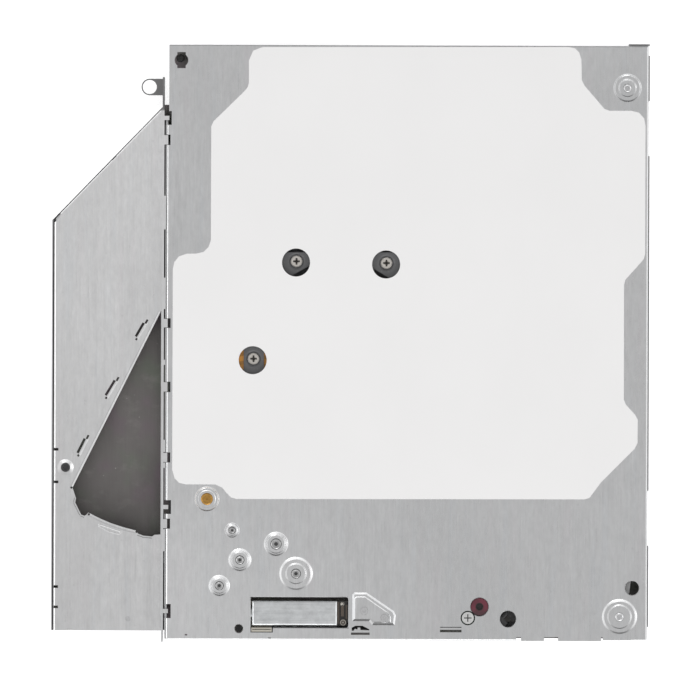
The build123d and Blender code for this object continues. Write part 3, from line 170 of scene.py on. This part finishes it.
def sheet_metal(name, base, rough=0.36, var=0.07, tint=0.05, bump=1.0, along="Y", inner_shade=None, wear=0.0, tone=None):
    """Plated rolled sheet: streaks along the rolling direction at two scales, soft clouds, faint tints, small specks."""
    m = Mat(name)
    if along == "Y":
        s1, s2, s3 = (850, 26, 400), (3600, 110, 1500), (9000, 700, 4000)
    else:
        s1, s2, s3 = (26, 850, 400), (110, 3600, 1500), (700, 9000, 4000)
    broad = m.noise(m.place(s1), detail=4, rough=0.6)
    fine = m.noise(m.place(s2, loc=(3, 1, 7)), detail=4, rough=0.65)
    hair = m.noise(m.place(s3, loc=(1, 8, 2)), detail=2, rough=0.5)
    cloud = m.noise(m.place((34, 22, 34), loc=(5, 2, 1)), detail=3, rough=0.5)
    mottle = m.noise(m.place((420, 300, 420), loc=(2, 5, 3)), detail=5, rough=0.7)
    both = m.math("ADD", m.math("MULTIPLY", broad, 0.30), m.math("MULTIPLY", fine, 0.40))
    both = m.math("ADD", both, m.math("MULTIPLY", mottle, 0.30))
    shade = m.span(both, 0.36, 0.64)
    col = m.mix(shade, mul(base, 1 - var), mul(base, 1 + var))
    col = m.mix(m.span(cloud, 0.35, 0.65, 0.0, 1.0), mul(base, 0.97), col)
    hue = m.noise(m.place((520, 30, 300), loc=(9, 4, 4)), detail=2, rough=0.5)
    col = m.mix(m.span(hue, 0.56, 0.72, 0.0, tint), col, (base[0] * 1.10, base[1] * 0.88, base[2] * 0.98))
    col = m.mix(m.span(hue, 0.44, 0.28, 0.0, tint), col, (base[0] * 0.86, base[1] * 1.0, base[2] * 1.14))
    speck = m.voronoi(m.place((300, 300, 300)), 1.0)
    col = m.mix(m.span(speck, 0.05, 0.09, 0.30 * (1 if wear else 0.4), 0.0), col, mul(base, 0.55))
    r = m.span(m.math("ADD", m.math("MULTIPLY", fine, 0.6), m.math("MULTIPLY", cloud, 0.4)), 0.3, 0.7, rough - 0.06, rough + 0.08)
    # Painted shade: the cover's inner face (0.40 to 0.62 mm up) gets a separate dark colour for the shade it lies in,
    # with mottle, tints, lighter smudges and specks, brightening from y = -38 mm to y = -8 mm.
    if inner_shade is not None:
        z = m.xyz()[2]
        lo = m.span(z, 0.40 * MM, 0.44 * MM)
        hi = m.span(z, 0.62 * MM, 0.58 * MM)
        mask = m.math("MULTIPLY", lo, hi)
        y = m.xyz()[1]
        inner_shade = mul(inner_shade, 1.0)
        dots = m.voronoi(m.place((560, 560, 560), loc=(4, 4, 4)), 1.0)
        dust = m.math("MULTIPLY", m.span(dots, 0.10, 0.05), m.span(m.noise(m.place((240, 240, 240)), detail=1), 0.52, 0.60))
        inner_shade_col = m.mix(m.span(m.noise(m.place((140, 60, 140)), detail=4), 0.35, 0.65), mul(inner_shade, 0.92), mul(inner_shade, 1.08))
        tints = m.noise(m.place((90, 70, 90), loc=(3, 6, 1)), detail=3)
        inner_shade_col = m.mix(m.span(tints, 0.52, 0.66, 0.0, 0.6), inner_shade_col, (inner_shade[0] * 1.12, inner_shade[1] * 0.90, inner_shade[2] * 1.12))
        inner_shade_col = m.mix(m.span(tints, 0.46, 0.34, 0.0, 0.6), inner_shade_col, (inner_shade[0] * 0.92, inner_shade[1] * 1.10, inner_shade[2] * 0.92))
        smudge = m.noise(m.place((210, 330, 210), rot=(0, 0, 0.5), loc=(8, 1, 2)), detail=4, rough=0.6)
        inner_shade_col = m.mix(m.span(smudge, 0.55, 0.70, 0.0, 0.35), inner_shade_col, mul(inner_shade, 1.5))
        inner_shade_col = m.mix(m.math("MULTIPLY", dust, 0.6), inner_shade_col, mul(inner_shade, 2.2))
        inner_shade_col = m.times(inner_shade_col, m.span(y, -38 * MM, -8 * MM, 1.10, 1.42))
        col = m.mix(mask, col, inner_shade_col)
        r = m.math("ADD", r, m.math("MULTIPLY", mask, 0.12))
    if tone is not None:
        col = m.times(col, tone(m, *m.xyz()))
    h = m.math("ADD", m.math("MULTIPLY", fine, 1.0), m.math("MULTIPLY", hair, 0.5))
    n = m.bump(h, 0.0000022 * bump)
    n = m.bump(mottle, 0.0000030 * bump, 1.0, n)
    return m.done(col, 1.0, r, n)


def grain(m, amount, scale=(1300, 420, 1300)):
    """Short soft mottling of the plated surface."""
    g = m.noise(m.place(scale, loc=(6, 3, 9)), detail=4, rough=0.7)
    return m.span(g, 0.33, 0.67, 1.0 - amount, 1.0 + amount)


def plate_tone(m, x, y, z):
    """Slightly brighter towards one corner (x below 0, y below -22 mm)."""
    k = m.math("ADD", 1.0, m.math("MULTIPLY", m.math("MULTIPLY", m.span(x, 0.0, -32 * MM), m.span(y, -22 * MM, -50 * MM)), 0.12))
    return m.math("MULTIPLY", k, grain(m, 0.045))


def can_tone(m, x, y, z):
    return m.math("MULTIPLY", grain(m, 0.09, (420, 620, 420)), grain(m, 0.05, (1500, 1500, 1500)))


def screw_hole_shade(m, x, y, z):
    """Painted shade: the screw under the rear hole is darkened almost to black, as it sits in the dark."""
    return m.math("SUBTRACT", 1.0, m.math("MULTIPLY", m.math("MULTIPLY", m.span(x, -30 * MM, -31 * MM), m.span(y, 54 * MM, 55 * MM)), 0.93))


def wing_ramp_and_ear_shade(m, x, y, z):
    """Brighter towards the rear; painted shade darkens the ear beyond the slanted edge."""
    # Painted shade: the wing beyond y = 49.6 mm (the ear) is darkened to 30 %.
    ear = m.span(y, 49.4 * MM, 49.8 * MM)
    k = m.math("MULTIPLY", m.span(y, -60 * MM, 60 * MM, 1.07, 1.26), m.math("SUBTRACT", 1.0, m.math("MULTIPLY", ear, 0.70)))
    return m.math("MULTIPLY", k, grain(m, 0.045))


def cover_edges_and_shade(m, x, y, z):
    """Darker high on the walls; painted shade on the ear at the rear, on the step along the left wall and on a strip of
    the floor along the slanted edge.
    """
    edge = m.math("SUBTRACT", 1.0, m.math("MULTIPLY", m.span(z, 10.8 * MM, 11.2 * MM), 0.6))
    # Painted shade masks: the ear, the step along the left wall (5.3 to 5.5 mm up) and the floor strip along the
    # slanted edge.
    ear = m.math("MULTIPLY", m.span(x, -40.2 * MM, -40.5 * MM), m.span(y, 52.4 * MM, 52.8 * MM))
    step = m.math("MULTIPLY", m.zone(z, 5.30, 5.50), m.span(x, -63.0 * MM, -63.1 * MM))
    line = m.math("SUBTRACT", m.math("SUBTRACT", y, x), 90.1 * MM)
    rim = m.math("MULTIPLY", m.math("MULTIPLY", m.span(line, -1.25 * MM, -1.05 * MM), m.zone(z, 0.35, 0.62)), m.span(x, -40.9 * MM, -41.1 * MM))
    rim = m.math("MULTIPLY", rim, m.span(y, 46.5 * MM, 39.0 * MM, 0.2, 1.0))
    k = m.math("MULTIPLY", edge, m.math("SUBTRACT", 1.0, m.math("MULTIPLY", ear, 0.58)))
    k = m.math("MULTIPLY", k, m.math("SUBTRACT", 1.0, m.math("MULTIPLY", step, 0.88)))
    return m.math("MULTIPLY", k, m.math("SUBTRACT", 1.0, m.math("MULTIPLY", rim, 0.92)))


def small_metal(name, base, rough=0.3, var=0.10, scale=2200, bump=1.0, tarnish=0.15, metallic=1.0, tone=None):
    """Turned, ground or plated small parts: fine isotropic grain, dull patches."""
    m = Mat(name)
    g = m.noise(m.place((scale, scale, scale)), detail=4, rough=0.6)
    p = m.noise(m.place((scale * 0.2,) * 3, loc=(4, 4, 1)), detail=3, rough=0.6)
    col = m.mix(m.span(g, 0.3, 0.7), mul(base, 1 - var), mul(base, 1 + var))
    col = m.mix(m.span(p, 0.5, 0.75, 0.0, tarnish), col, mul(base, 0.55))
    if tone is not None:
        col = m.times(col, tone(m, *m.xyz()))
    r = m.span(p, 0.3, 0.7, rough - 0.05, rough + 0.12)
    return m.done(col, metallic, r, m.bump(g, 0.000003 * bump))


def recess_shade(a, b, level=0.12):
    """Painted shade in a recess between two heights (mm)."""
    return lambda m, x, y, z: m.math("SUBTRACT", 1.0, m.math("MULTIPLY", m.zone(z, a, b), 1.0 - level))


def head_groove_shade(m, x, y, z):
    """Riveted ends: painted shade in the groove round each head, everything below 11.9 mm darkened, on the plate's side
    only.
    """
    r = m.radius(x, y, (-11.40, -49.33))
    lathe = m.math("MULTIPLY", m.math("SINE", m.math("MULTIPLY", r, 2 * math.pi / (0.22 * MM))), 0.06)
    lathe = m.math("MULTIPLY", lathe, m.span(r, 2.6 * MM, 2.2 * MM))
    # Painted shade below 11.9 mm, lighter above 12.12 mm, plus lathe marks.
    return m.math("ADD", m.span(z, 11.9 * MM, 12.12 * MM, 0.22, 0.92), lathe)


def wing_rivet_hollow_shade(m, x, y, z):
    """Painted shade: the hollow rivet in the thin wing is darkened inside its rim, standing in for the shade of its
    hollow.
    """
    return m.span(m.radius(x, y, (-60.83, -26.82)), 0.95 * MM, 1.4 * MM, 0.16, 1.0)


def cap_mat(name):
    """Brown moulded end of the motor with solder and flux on its raised parts."""
    m = Mat(name)
    g = m.noise(m.place((2500,) * 3), detail=5, rough=0.65)
    p = m.noise(m.place((900,) * 3, loc=(7, 2, 3)), detail=3)
    col = m.mix(m.span(p, 0.35, 0.65), (0.010, 0.009, 0.008), (0.020, 0.018, 0.016))
    x, y, z = m.xyz()
    up = m.span(z, 11.38 * MM, 11.46 * MM)
    col = m.mix(m.math("MULTIPLY", up, 0.8), col, (0.085, 0.064, 0.048))
    solder = m.span(m.radius(x, y, (-1.47, -55.80)), 0.46 * MM, 0.40 * MM)
    ring = m.math("MULTIPLY", m.span(m.radius(x, y, (-1.30, -59.75)), 0.70 * MM, 0.66 * MM), m.span(z, 11.75 * MM, 11.8 * MM))
    metal = m.math("MAXIMUM", solder, m.math("MULTIPLY", ring, 0.45))
    col = m.mix(metal, col, (0.60, 0.57, 0.52))
    m.link(metal, m.b.inputs["Metallic"])
    m.put(col, m.b.inputs["Base Color"])
    m.put(m.span(g, 0.3, 0.7, 0.24, 0.42), m.b.inputs["Roughness"])
    m.link(m.bump(g, 0.000012), m.b.inputs["Normal"])
    return m.m


def bush_mat(name):
    """Dark red moulding, darker round its axis."""
    m = Mat(name)
    g = m.noise(m.place((1500,) * 3), detail=5, rough=0.65)
    p = m.noise(m.place((500,) * 3, loc=(7, 2, 3)), detail=3)
    x, y, z = m.xyz()
    r = m.radius(x, y, (27.85, -56.28))
    col = m.mix(m.span(p, 0.35, 0.65), (0.080, 0.012, 0.022), (0.130, 0.020, 0.036))
    col = m.mix(m.math("MULTIPLY", m.span(y, -56.4 * MM, -57.6 * MM), 0.6), col, (0.034, 0.022, 0.024))
    col = m.mix(m.math("MULTIPLY", m.span(r, 0.95 * MM, 0.75 * MM), 0.9), col, (0.008, 0.010, 0.008))
    return m.done(col, 0.0, m.span(g, 0.3, 0.7, 0.26, 0.40), m.bump(g, 0.000008))


def turned_metal(name, base, centre, rough=0.28, var=0.12):
    """Concentric turning marks about a vertical axis through centre (mm)."""
    m = Mat(name)
    x, y, z = m.xyz()
    dx = m.math("SUBTRACT", x, centre[0] * MM)
    dy = m.math("SUBTRACT", y, centre[1] * MM)
    r = m.math("SQRT", m.math("ADD", m.math("MULTIPLY", dx, dx), m.math("MULTIPLY", dy, dy)))
    rings = m.math("SINE", m.math("MULTIPLY", r, 2 * math.pi / (0.16 * MM)))
    g = m.noise(m.place((2500,) * 3), detail=3)
    k = m.math("ADD", m.math("MULTIPLY", rings, 0.25), g)
    col = m.mix(m.span(k, 0.2, 0.9), mul(base, 1 - var), mul(base, 1 + var))
    return m.done(col, 1.0, m.span(g, 0.3, 0.7, rough - 0.05, rough + 0.1), m.bump(k, 0.000004))


def moulded(name, base, rough=0.45, var=0.08, scale=1500, bump=1.0, dust=0.0, spec=0.5):
    """Moulded plastic or paint: fine spark-eroded texture, slight colour drift, optional dust."""
    m = Mat(name)
    g = m.noise(m.place((scale,) * 3), detail=5, rough=0.65)
    p = m.noise(m.place((scale * 0.12,) * 3, loc=(7, 2, 3)), detail=3)
    col = m.mix(m.span(p, 0.35, 0.65), mul(base, 1 - var), mul(base, 1 + var))
    if dust:
        d = m.noise(m.place((scale * 1.7,) * 3, loc=(1, 9, 9)), detail=2)
        col = m.mix(m.span(d, 0.62, 0.72, 0.0, dust), col, (0.55, 0.54, 0.52))
    r = m.span(g, 0.3, 0.7, rough - 0.08, rough + 0.10)
    m.b.inputs["Specular IOR Level"].default_value = spec
    return m.done(col, 0.0, r, m.bump(g, 0.000006 * bump))


def felt_mat(name):
    m = Mat(name)
    g = m.noise(m.place((6000, 6000, 6000)), detail=4, rough=0.8)
    f = m.noise(m.place((1800, 9000, 4000), rot=(0, 0, 0.6)), detail=3, rough=0.8)
    col = m.mix(m.span(g, 0.3, 0.7), (0.012, 0.012, 0.013), (0.05, 0.05, 0.052))
    m.b.inputs["Sheen Weight"].default_value = 0.5
    m.b.inputs["Sheen Roughness"].default_value = 0.5
    return m.done(col, 0.0, m.span(f, 0.2, 0.8, 0.85, 1.0), m.bump(m.math("ADD", g, f), 0.00004))


def board_mat(name):
    """Solder mask over copper tracks, small plated holes."""
    m = Mat(name)
    g = m.noise(m.place((900,) * 3), detail=3)
    n = m.new("ShaderNodeTexBrick")
    m.link(m.place((420, 420, 420), rot=(0, 0, math.pi / 4)), n.inputs["Vector"])
    n.inputs["Scale"].default_value = 1.0
    n.inputs["Mortar Size"].default_value = 0.03
    n.inputs["Color1"].default_value = (0, 0, 0, 1)
    n.inputs["Color2"].default_value = (0, 0, 0, 1)
    n.inputs["Mortar"].default_value = (1, 1, 1, 1)
    tracks = n.outputs["Color"]
    col = m.mix(m.span(g, 0.3, 0.7), (0.012, 0.10, 0.045), (0.018, 0.14, 0.06))
    col = m.mix(m.math("MULTIPLY", tracks, 0.5), col, (0.03, 0.22, 0.10))
    v = m.voronoi(m.place((330, 330, 330)), 1.0)
    holes = m.span(v, 0.12, 0.09)
    col = m.mix(holes, col, (0.75, 0.62, 0.35))
    return m.done(col, 0.0, m.span(g, 0.3, 0.7, 0.28, 0.42), m.bump(tracks, 0.00002), Coat_Weight=0.3)


def label_mat(name):
    """Blank coated film: very fine tooth, faint waviness, barely visible drift."""
    m = Mat(name)
    g = m.noise(m.place((5200,) * 3), detail=4, rough=0.7)
    wave = m.noise(m.place((60, 45, 60), loc=(2, 2, 2)), detail=2)
    base = (0.742, 0.736, 0.732)
    col = m.mix(m.span(wave, 0.35, 0.65), mul(base, 0.992), mul(base, 1.008))
    col = m.mix(m.span(g, 0.35, 0.7, 0.0, 0.25), col, mul(base, 0.985))
    n = m.bump(g, 0.0000015)
    n = m.bump(wave, 0.00003, 1.0, n)
    return m.done(col, 0.0, m.span(g, 0.3, 0.7, 0.48, 0.58), n, Specular_IOR_Level=0.35)


def coil_mat(name):
    m = Mat(name)
    w = m.new("ShaderNodeTexWave", wave_type="BANDS")
    m.link(m.place((1, 1, 1)), w.inputs["Vector"])
    w.inputs["Scale"].default_value = 1400
    w.inputs["Distortion"].default_value = 1.5
    wires = w.outputs["Fac"]
    col = m.mix(wires, (0.28, 0.09, 0.03), (0.72, 0.30, 0.12))
    return m.done(col, 0.9, m.span(wires, 0, 1, 0.4, 0.22), m.bump(wires, 0.00005))


def core_mat(name):
    m = Mat(name)
    z = m.xyz()[2]
    lam = m.math("SINE", m.math("MULTIPLY", z, 2 * math.pi / (0.2 * MM)))
    g = m.noise(m.place((2200,) * 3), detail=3)
    k = m.math("ADD", m.math("MULTIPLY", lam, 0.3), g)
    col = m.mix(m.span(k, 0.2, 0.9), (0.16, 0.16, 0.17), (0.34, 0.34, 0.35))
    return m.done(col, 1.0, m.span(g, 0.3, 0.7, 0.35, 0.5), m.bump(lam, 0.00002))


def film_mat(name, base, rough=0.25):
    """Polyimide film over copper: tracks show as darker bands."""
    m = Mat(name)
    n = m.new("ShaderNodeTexWave", wave_type="BANDS")
    m.link(m.place((1, 1, 1), rot=(0, 0, 1.35)), n.inputs["Vector"])
    n.inputs["Scale"].default_value = 180
    tracks = n.outputs["Fac"]
    g = m.noise(m.place((1200,) * 3), detail=3)
    col = m.mix(m.span(tracks, 0.55, 0.7), base, mul(base, 0.6))
    col = m.mix(m.span(g, 0.4, 0.7, 0.0, 0.2), col, mul(base, 1.3))
    return m.done(col, 0.15, m.span(g, 0.3, 0.7, rough, rough + 0.12), m.bump(tracks, 0.00001), Coat_Weight=0.5)


def lens_mat(name):
    m = Mat(name)
    g = m.noise(m.place((900,) * 3), detail=2)
    m.b.inputs["Transmission Weight"].default_value = 0.85
    m.b.inputs["IOR"].default_value = 1.55
    m.b.inputs["Coat Weight"].default_value = 0.8
    m.b.inputs["Coat Tint"].default_value = (0.6, 0.5, 1.0, 1.0)
    return m.done(m.mix(m.span(g, 0.3, 0.7), (0.55, 0.62, 0.92), (0.62, 0.68, 0.98)), 0.0, m.span(g, 0.3, 0.7, 0.02, 0.05))


# ---------------------------------------------------------------- materials
M = {
    "plate": sheet_metal("base_sheet", (0.59, 0.592, 0.595), rough=0.29, var=0.075, tint=0.06, tone=plate_tone),
    "wing": sheet_metal("wing_sheet", (0.60, 0.599, 0.60), rough=0.30, var=0.085, tint=0.06, tone=wing_ramp_and_ear_shade),
    # The cover's inner-face colour is painted shade.
    "cover": sheet_metal("cover_sheet", (0.62, 0.62, 0.625), rough=0.38, inner_shade=(0.15, 0.142, 0.138), wear=1.0, tone=cover_edges_and_shade),
    "label": label_mat("blank_label"),
    "lever": sheet_metal("lever_sheet", (0.55, 0.55, 0.55), rough=0.33, along="X"),
    "carrier": sheet_metal("carrier_sheet", (0.50, 0.50, 0.51), rough=0.36, along="X"),
    "clip": sheet_metal("clip_sheet", (0.60, 0.57, 0.50), rough=0.34, along="X"),
    "can": sheet_metal("motor_can", (0.605, 0.618, 0.625), rough=0.30, along="X", var=0.16, tint=0.02, tone=can_tone),
    "traverse": moulded("traverse_coat", (0.045, 0.045, 0.047), rough=0.42, scale=900, dust=0.10),
    "lug": moulded("lug_coat", (0.085, 0.085, 0.087), rough=0.45, scale=900, dust=0.06),
    "black": moulded("black_moulding", (0.018, 0.018, 0.019), rough=0.42, dust=0.05),
    "cap": cap_mat("cap_moulding"),
    "chip": moulded("chip_moulding", (0.022, 0.022, 0.024), rough=0.5, scale=3500),
    "white": moulded("natural_acetal", (0.78, 0.76, 0.70), rough=0.38, var=0.03),
    "red": bush_mat("red_moulding"),
    "rubber": moulded("rubber_ring", (0.016, 0.016, 0.016), rough=0.75, scale=4000, bump=2.0),
    "felt": felt_mat("black_felt"),
    "screw": small_metal("plated_screw", (0.72, 0.72, 0.71), rough=0.22, tone=screw_hole_shade),
    "front": small_metal("front_screw", (0.70, 0.70, 0.69), rough=0.24, tone=recess_shade(12.1, 12.4)),
    "skew": small_metal("skew_screw", (0.60, 0.57, 0.53), rough=0.26, tarnish=0.4, tone=recess_shade(11.4, 11.82)),
    "head": small_metal("riveted_end", (0.44, 0.44, 0.44), rough=0.32, tarnish=0.45, tone=head_groove_shade),
    "rivet": small_metal("frame_rivet", (0.56, 0.56, 0.565), rough=0.28, tarnish=0.3, tone=wing_rivet_hollow_shade),
    "dark": small_metal("blackened_screw", (0.06, 0.06, 0.06), rough=0.4, tarnish=0.3),
    "post": small_metal("turned_post", (0.58, 0.58, 0.585), rough=0.28, tarnish=0.3),
    "rail": small_metal("ground_rail", (0.74, 0.74, 0.75), rough=0.12, var=0.03, scale=3000),
    "brass": turned_metal("brass_pivot", (0.42, 0.235, 0.065), (-30.47, -33.43), rough=0.34, var=0.2),
    "gold": small_metal("gold_contact", (0.86, 0.62, 0.22), rough=0.2, tarnish=0.05),
    "spring": small_metal("spring_steel", (0.32, 0.32, 0.33), rough=0.3),
    "board": board_mat("solder_mask"),
    "copper": coil_mat("copper_coil"),
    "core": core_mat("stator_laminations"),
    "magnet": small_metal("bonded_magnet", (0.10, 0.10, 0.105), rough=0.5, metallic=0.6, bump=2.0),
    "sled": small_metal("die_casting", (0.36, 0.36, 0.37), rough=0.42, scale=900, bump=3.0),
    "orange": film_mat("polyimide", (0.72, 0.30, 0.02)),
    "lens": lens_mat("coated_lens"),
    "bell": sheet_metal("rotor_bell_sheet", (0.62, 0.62, 0.63), rough=0.3),
}
USE = {
    "top_cover": "cover", "base_plate": "plate", "wing_frame": "wing", "label": "label", "slot_guide": "black", "slot_felts": "felt",
    "cover_screws": "screw", "circuit_board": "board", "board_chips": "chip", "board_screws": "screw", "host_connector": "black",
    "connector_contacts": "gold", "loading_motor": "can", "motor_end_cap": "cap", "motor_bracket": "clip", "bracket_screw": "dark",
    "gear_posts": "head", "lever_posts": "post", "brass_pivot": "brass", "gear_carrier": "carrier", "sensor_bush": "red",
    "front_screw": "front", "sensor_board": "board", "frame_rivets": "rivet", "slider_guides": "carrier", "tilt_blocks": "black",
    "rack_gear": "white", "step_gear_upper": "white", "step_gear_middle": "white", "worm_wheel": "white", "loading_worm": "brass",
    "cam_slider": "black", "lever_left": "lever", "lever_right": "lever", "lever_eject": "lever", "guide_left": "white",
    "guide_right": "white", "guide_eject": "white", "traverse_frame": "traverse", "guide_rails": "rail", "spindle_plate": "lug",
    "skew_screws": "skew", "skew_springs": "spring", "spindle_flex": "orange", "spindle_bearing": "brass", "stator_core": "core",
    "stator_coils": "copper", "sled_stepper": "can", "rotor_bell": "bell", "rotor_magnet": "magnet", "centring_hub": "black",
    "hub_catches": "white", "turntable_ring": "rubber", "pickup_sled": "sled", "laser_unit": "spring", "pickup_cover": "lever",
    "focus_magnets": "magnet", "lens_holder": "black", "objective_lens": "lens", "lead_screw": "rail",
}
for name, o in NODES.items():
    o.data.materials.clear()
    o.data.materials.append(M[USE.get(name, "white")])

# ---------------------------------------------------------------- floor
fm = Mat("studio_floor")
fg = fm.noise(fm.place((9, 9, 9)), detail=3)
fcol = fm.mix(fm.span(fg, 0.3, 0.7), (0.86, 0.86, 0.86), (0.88, 0.88, 0.88))
fm.b.inputs["Emission Color"].default_value = (1, 1, 1, 1)
fm.b.inputs["Emission Strength"].default_value = 0.50
fm.done(fcol, 0.0, 0.85, None, Specular_IOR_Level=0.1)
bm = bmesh.new()
bmesh.ops.create_grid(bm, x_segments=8, y_segments=8, size=6.0)
me = bpy.data.meshes.new("floor")
bm.to_mesh(me)
bm.free()
floor = bpy.data.objects.new("floor", me)
bpy.context.scene.collection.objects.link(floor)
floor.location = (0, 0, -0.00006)
floor.data.materials.append(fm.m)

# ---------------------------------------------------------------- light
world = bpy.data.worlds.new("studio")
scene.world = world
world.use_nodes = True
wt = world.node_tree
wt.nodes.clear()
wo = wt.nodes.new("ShaderNodeOutputWorld")


def wn(kind, **kw):
    n = wt.nodes.new(kind)
    for k, v in kw.items():
        setattr(n, k, v)
    return n


def wput(v, s):
    if isinstance(v, bpy.types.NodeSocket):
        wt.links.new(v, s)
    else:
        s.default_value = v


def wspan(v, a, b, c, d):
    n = wn("ShaderNodeMapRange", interpolation_type="SMOOTHSTEP")
    wput(v, n.inputs["Value"])
    for k, val in zip(("From Min", "From Max", "To Min", "To Max"), (a, b, c, d)):
        n.inputs[k].default_value = val
    return n.outputs["Result"]


def wmath(op, a, b=0.0):
    n = wn("ShaderNodeMath", operation=op)
    wput(a, n.inputs[0])
    wput(b, n.inputs[1])
    return n.outputs[0]


LIGHT = 0.92
wc = wn("ShaderNodeTexCoord")
sx = wn("ShaderNodeSeparateXYZ")
wt.links.new(wc.outputs["Generated"], sx.inputs[0])
X, Y, Z = sx.outputs
side = wmath("MAXIMUM", wmath("MULTIPLY", Y, -1.0), wmath("MULTIPLY", wmath("ABSOLUTE", X), 0.9))
level = wspan(Z, 0.0, 0.95, 0.70, 0.80)
level = wmath("ADD", level, wspan(side, 0.42, 0.80, 0.0, 1.15))
level = wmath("MULTIPLY", level, wspan(Y, 0.72, 0.96, 1.0, 0.12))
level = wmath("MULTIPLY", level, wspan(Z, 0.12, 0.45, 0.55, 1.0))
level = wmath("MULTIPLY", level, LIGHT)
bg = wn("ShaderNodeBackground")
wt.links.new(level, bg.inputs["Strength"])
bg.inputs["Color"].default_value = (0.995, 0.996, 1.0, 1)
plain = wn("ShaderNodeBackground")
plain.inputs["Color"].default_value = (1, 1, 1, 1)
plain.inputs["Strength"].default_value = 1.0
lp = wn("ShaderNodeLightPath")
mixs = wn("ShaderNodeMixShader")
wt.links.new(lp.outputs["Is Camera Ray"], mixs.inputs[0])
wt.links.new(bg.outputs[0], mixs.inputs[1])
wt.links.new(plain.outputs[0], mixs.inputs[2])
wt.links.new(mixs.outputs[0], wo.inputs["Surface"])


def area(name, loc, size, power, target=(0, 0, 0)):
    d = bpy.data.lights.new(name, "AREA")
    d.shape = "DISK"
    d.size = size
    d.energy = power
    o = bpy.data.objects.new(name, d)
    bpy.context.scene.collection.objects.link(o)
    o.location = loc
    o.rotation_euler = (Vector(target) - Vector(loc)).to_track_quat("-Z", "Y").to_euler()
    return o


area("key", (0.25, -0.95, 0.75), 0.45, 2.2)
area("fill", (-0.9, -0.15, 0.8), 0.6, 1.2)
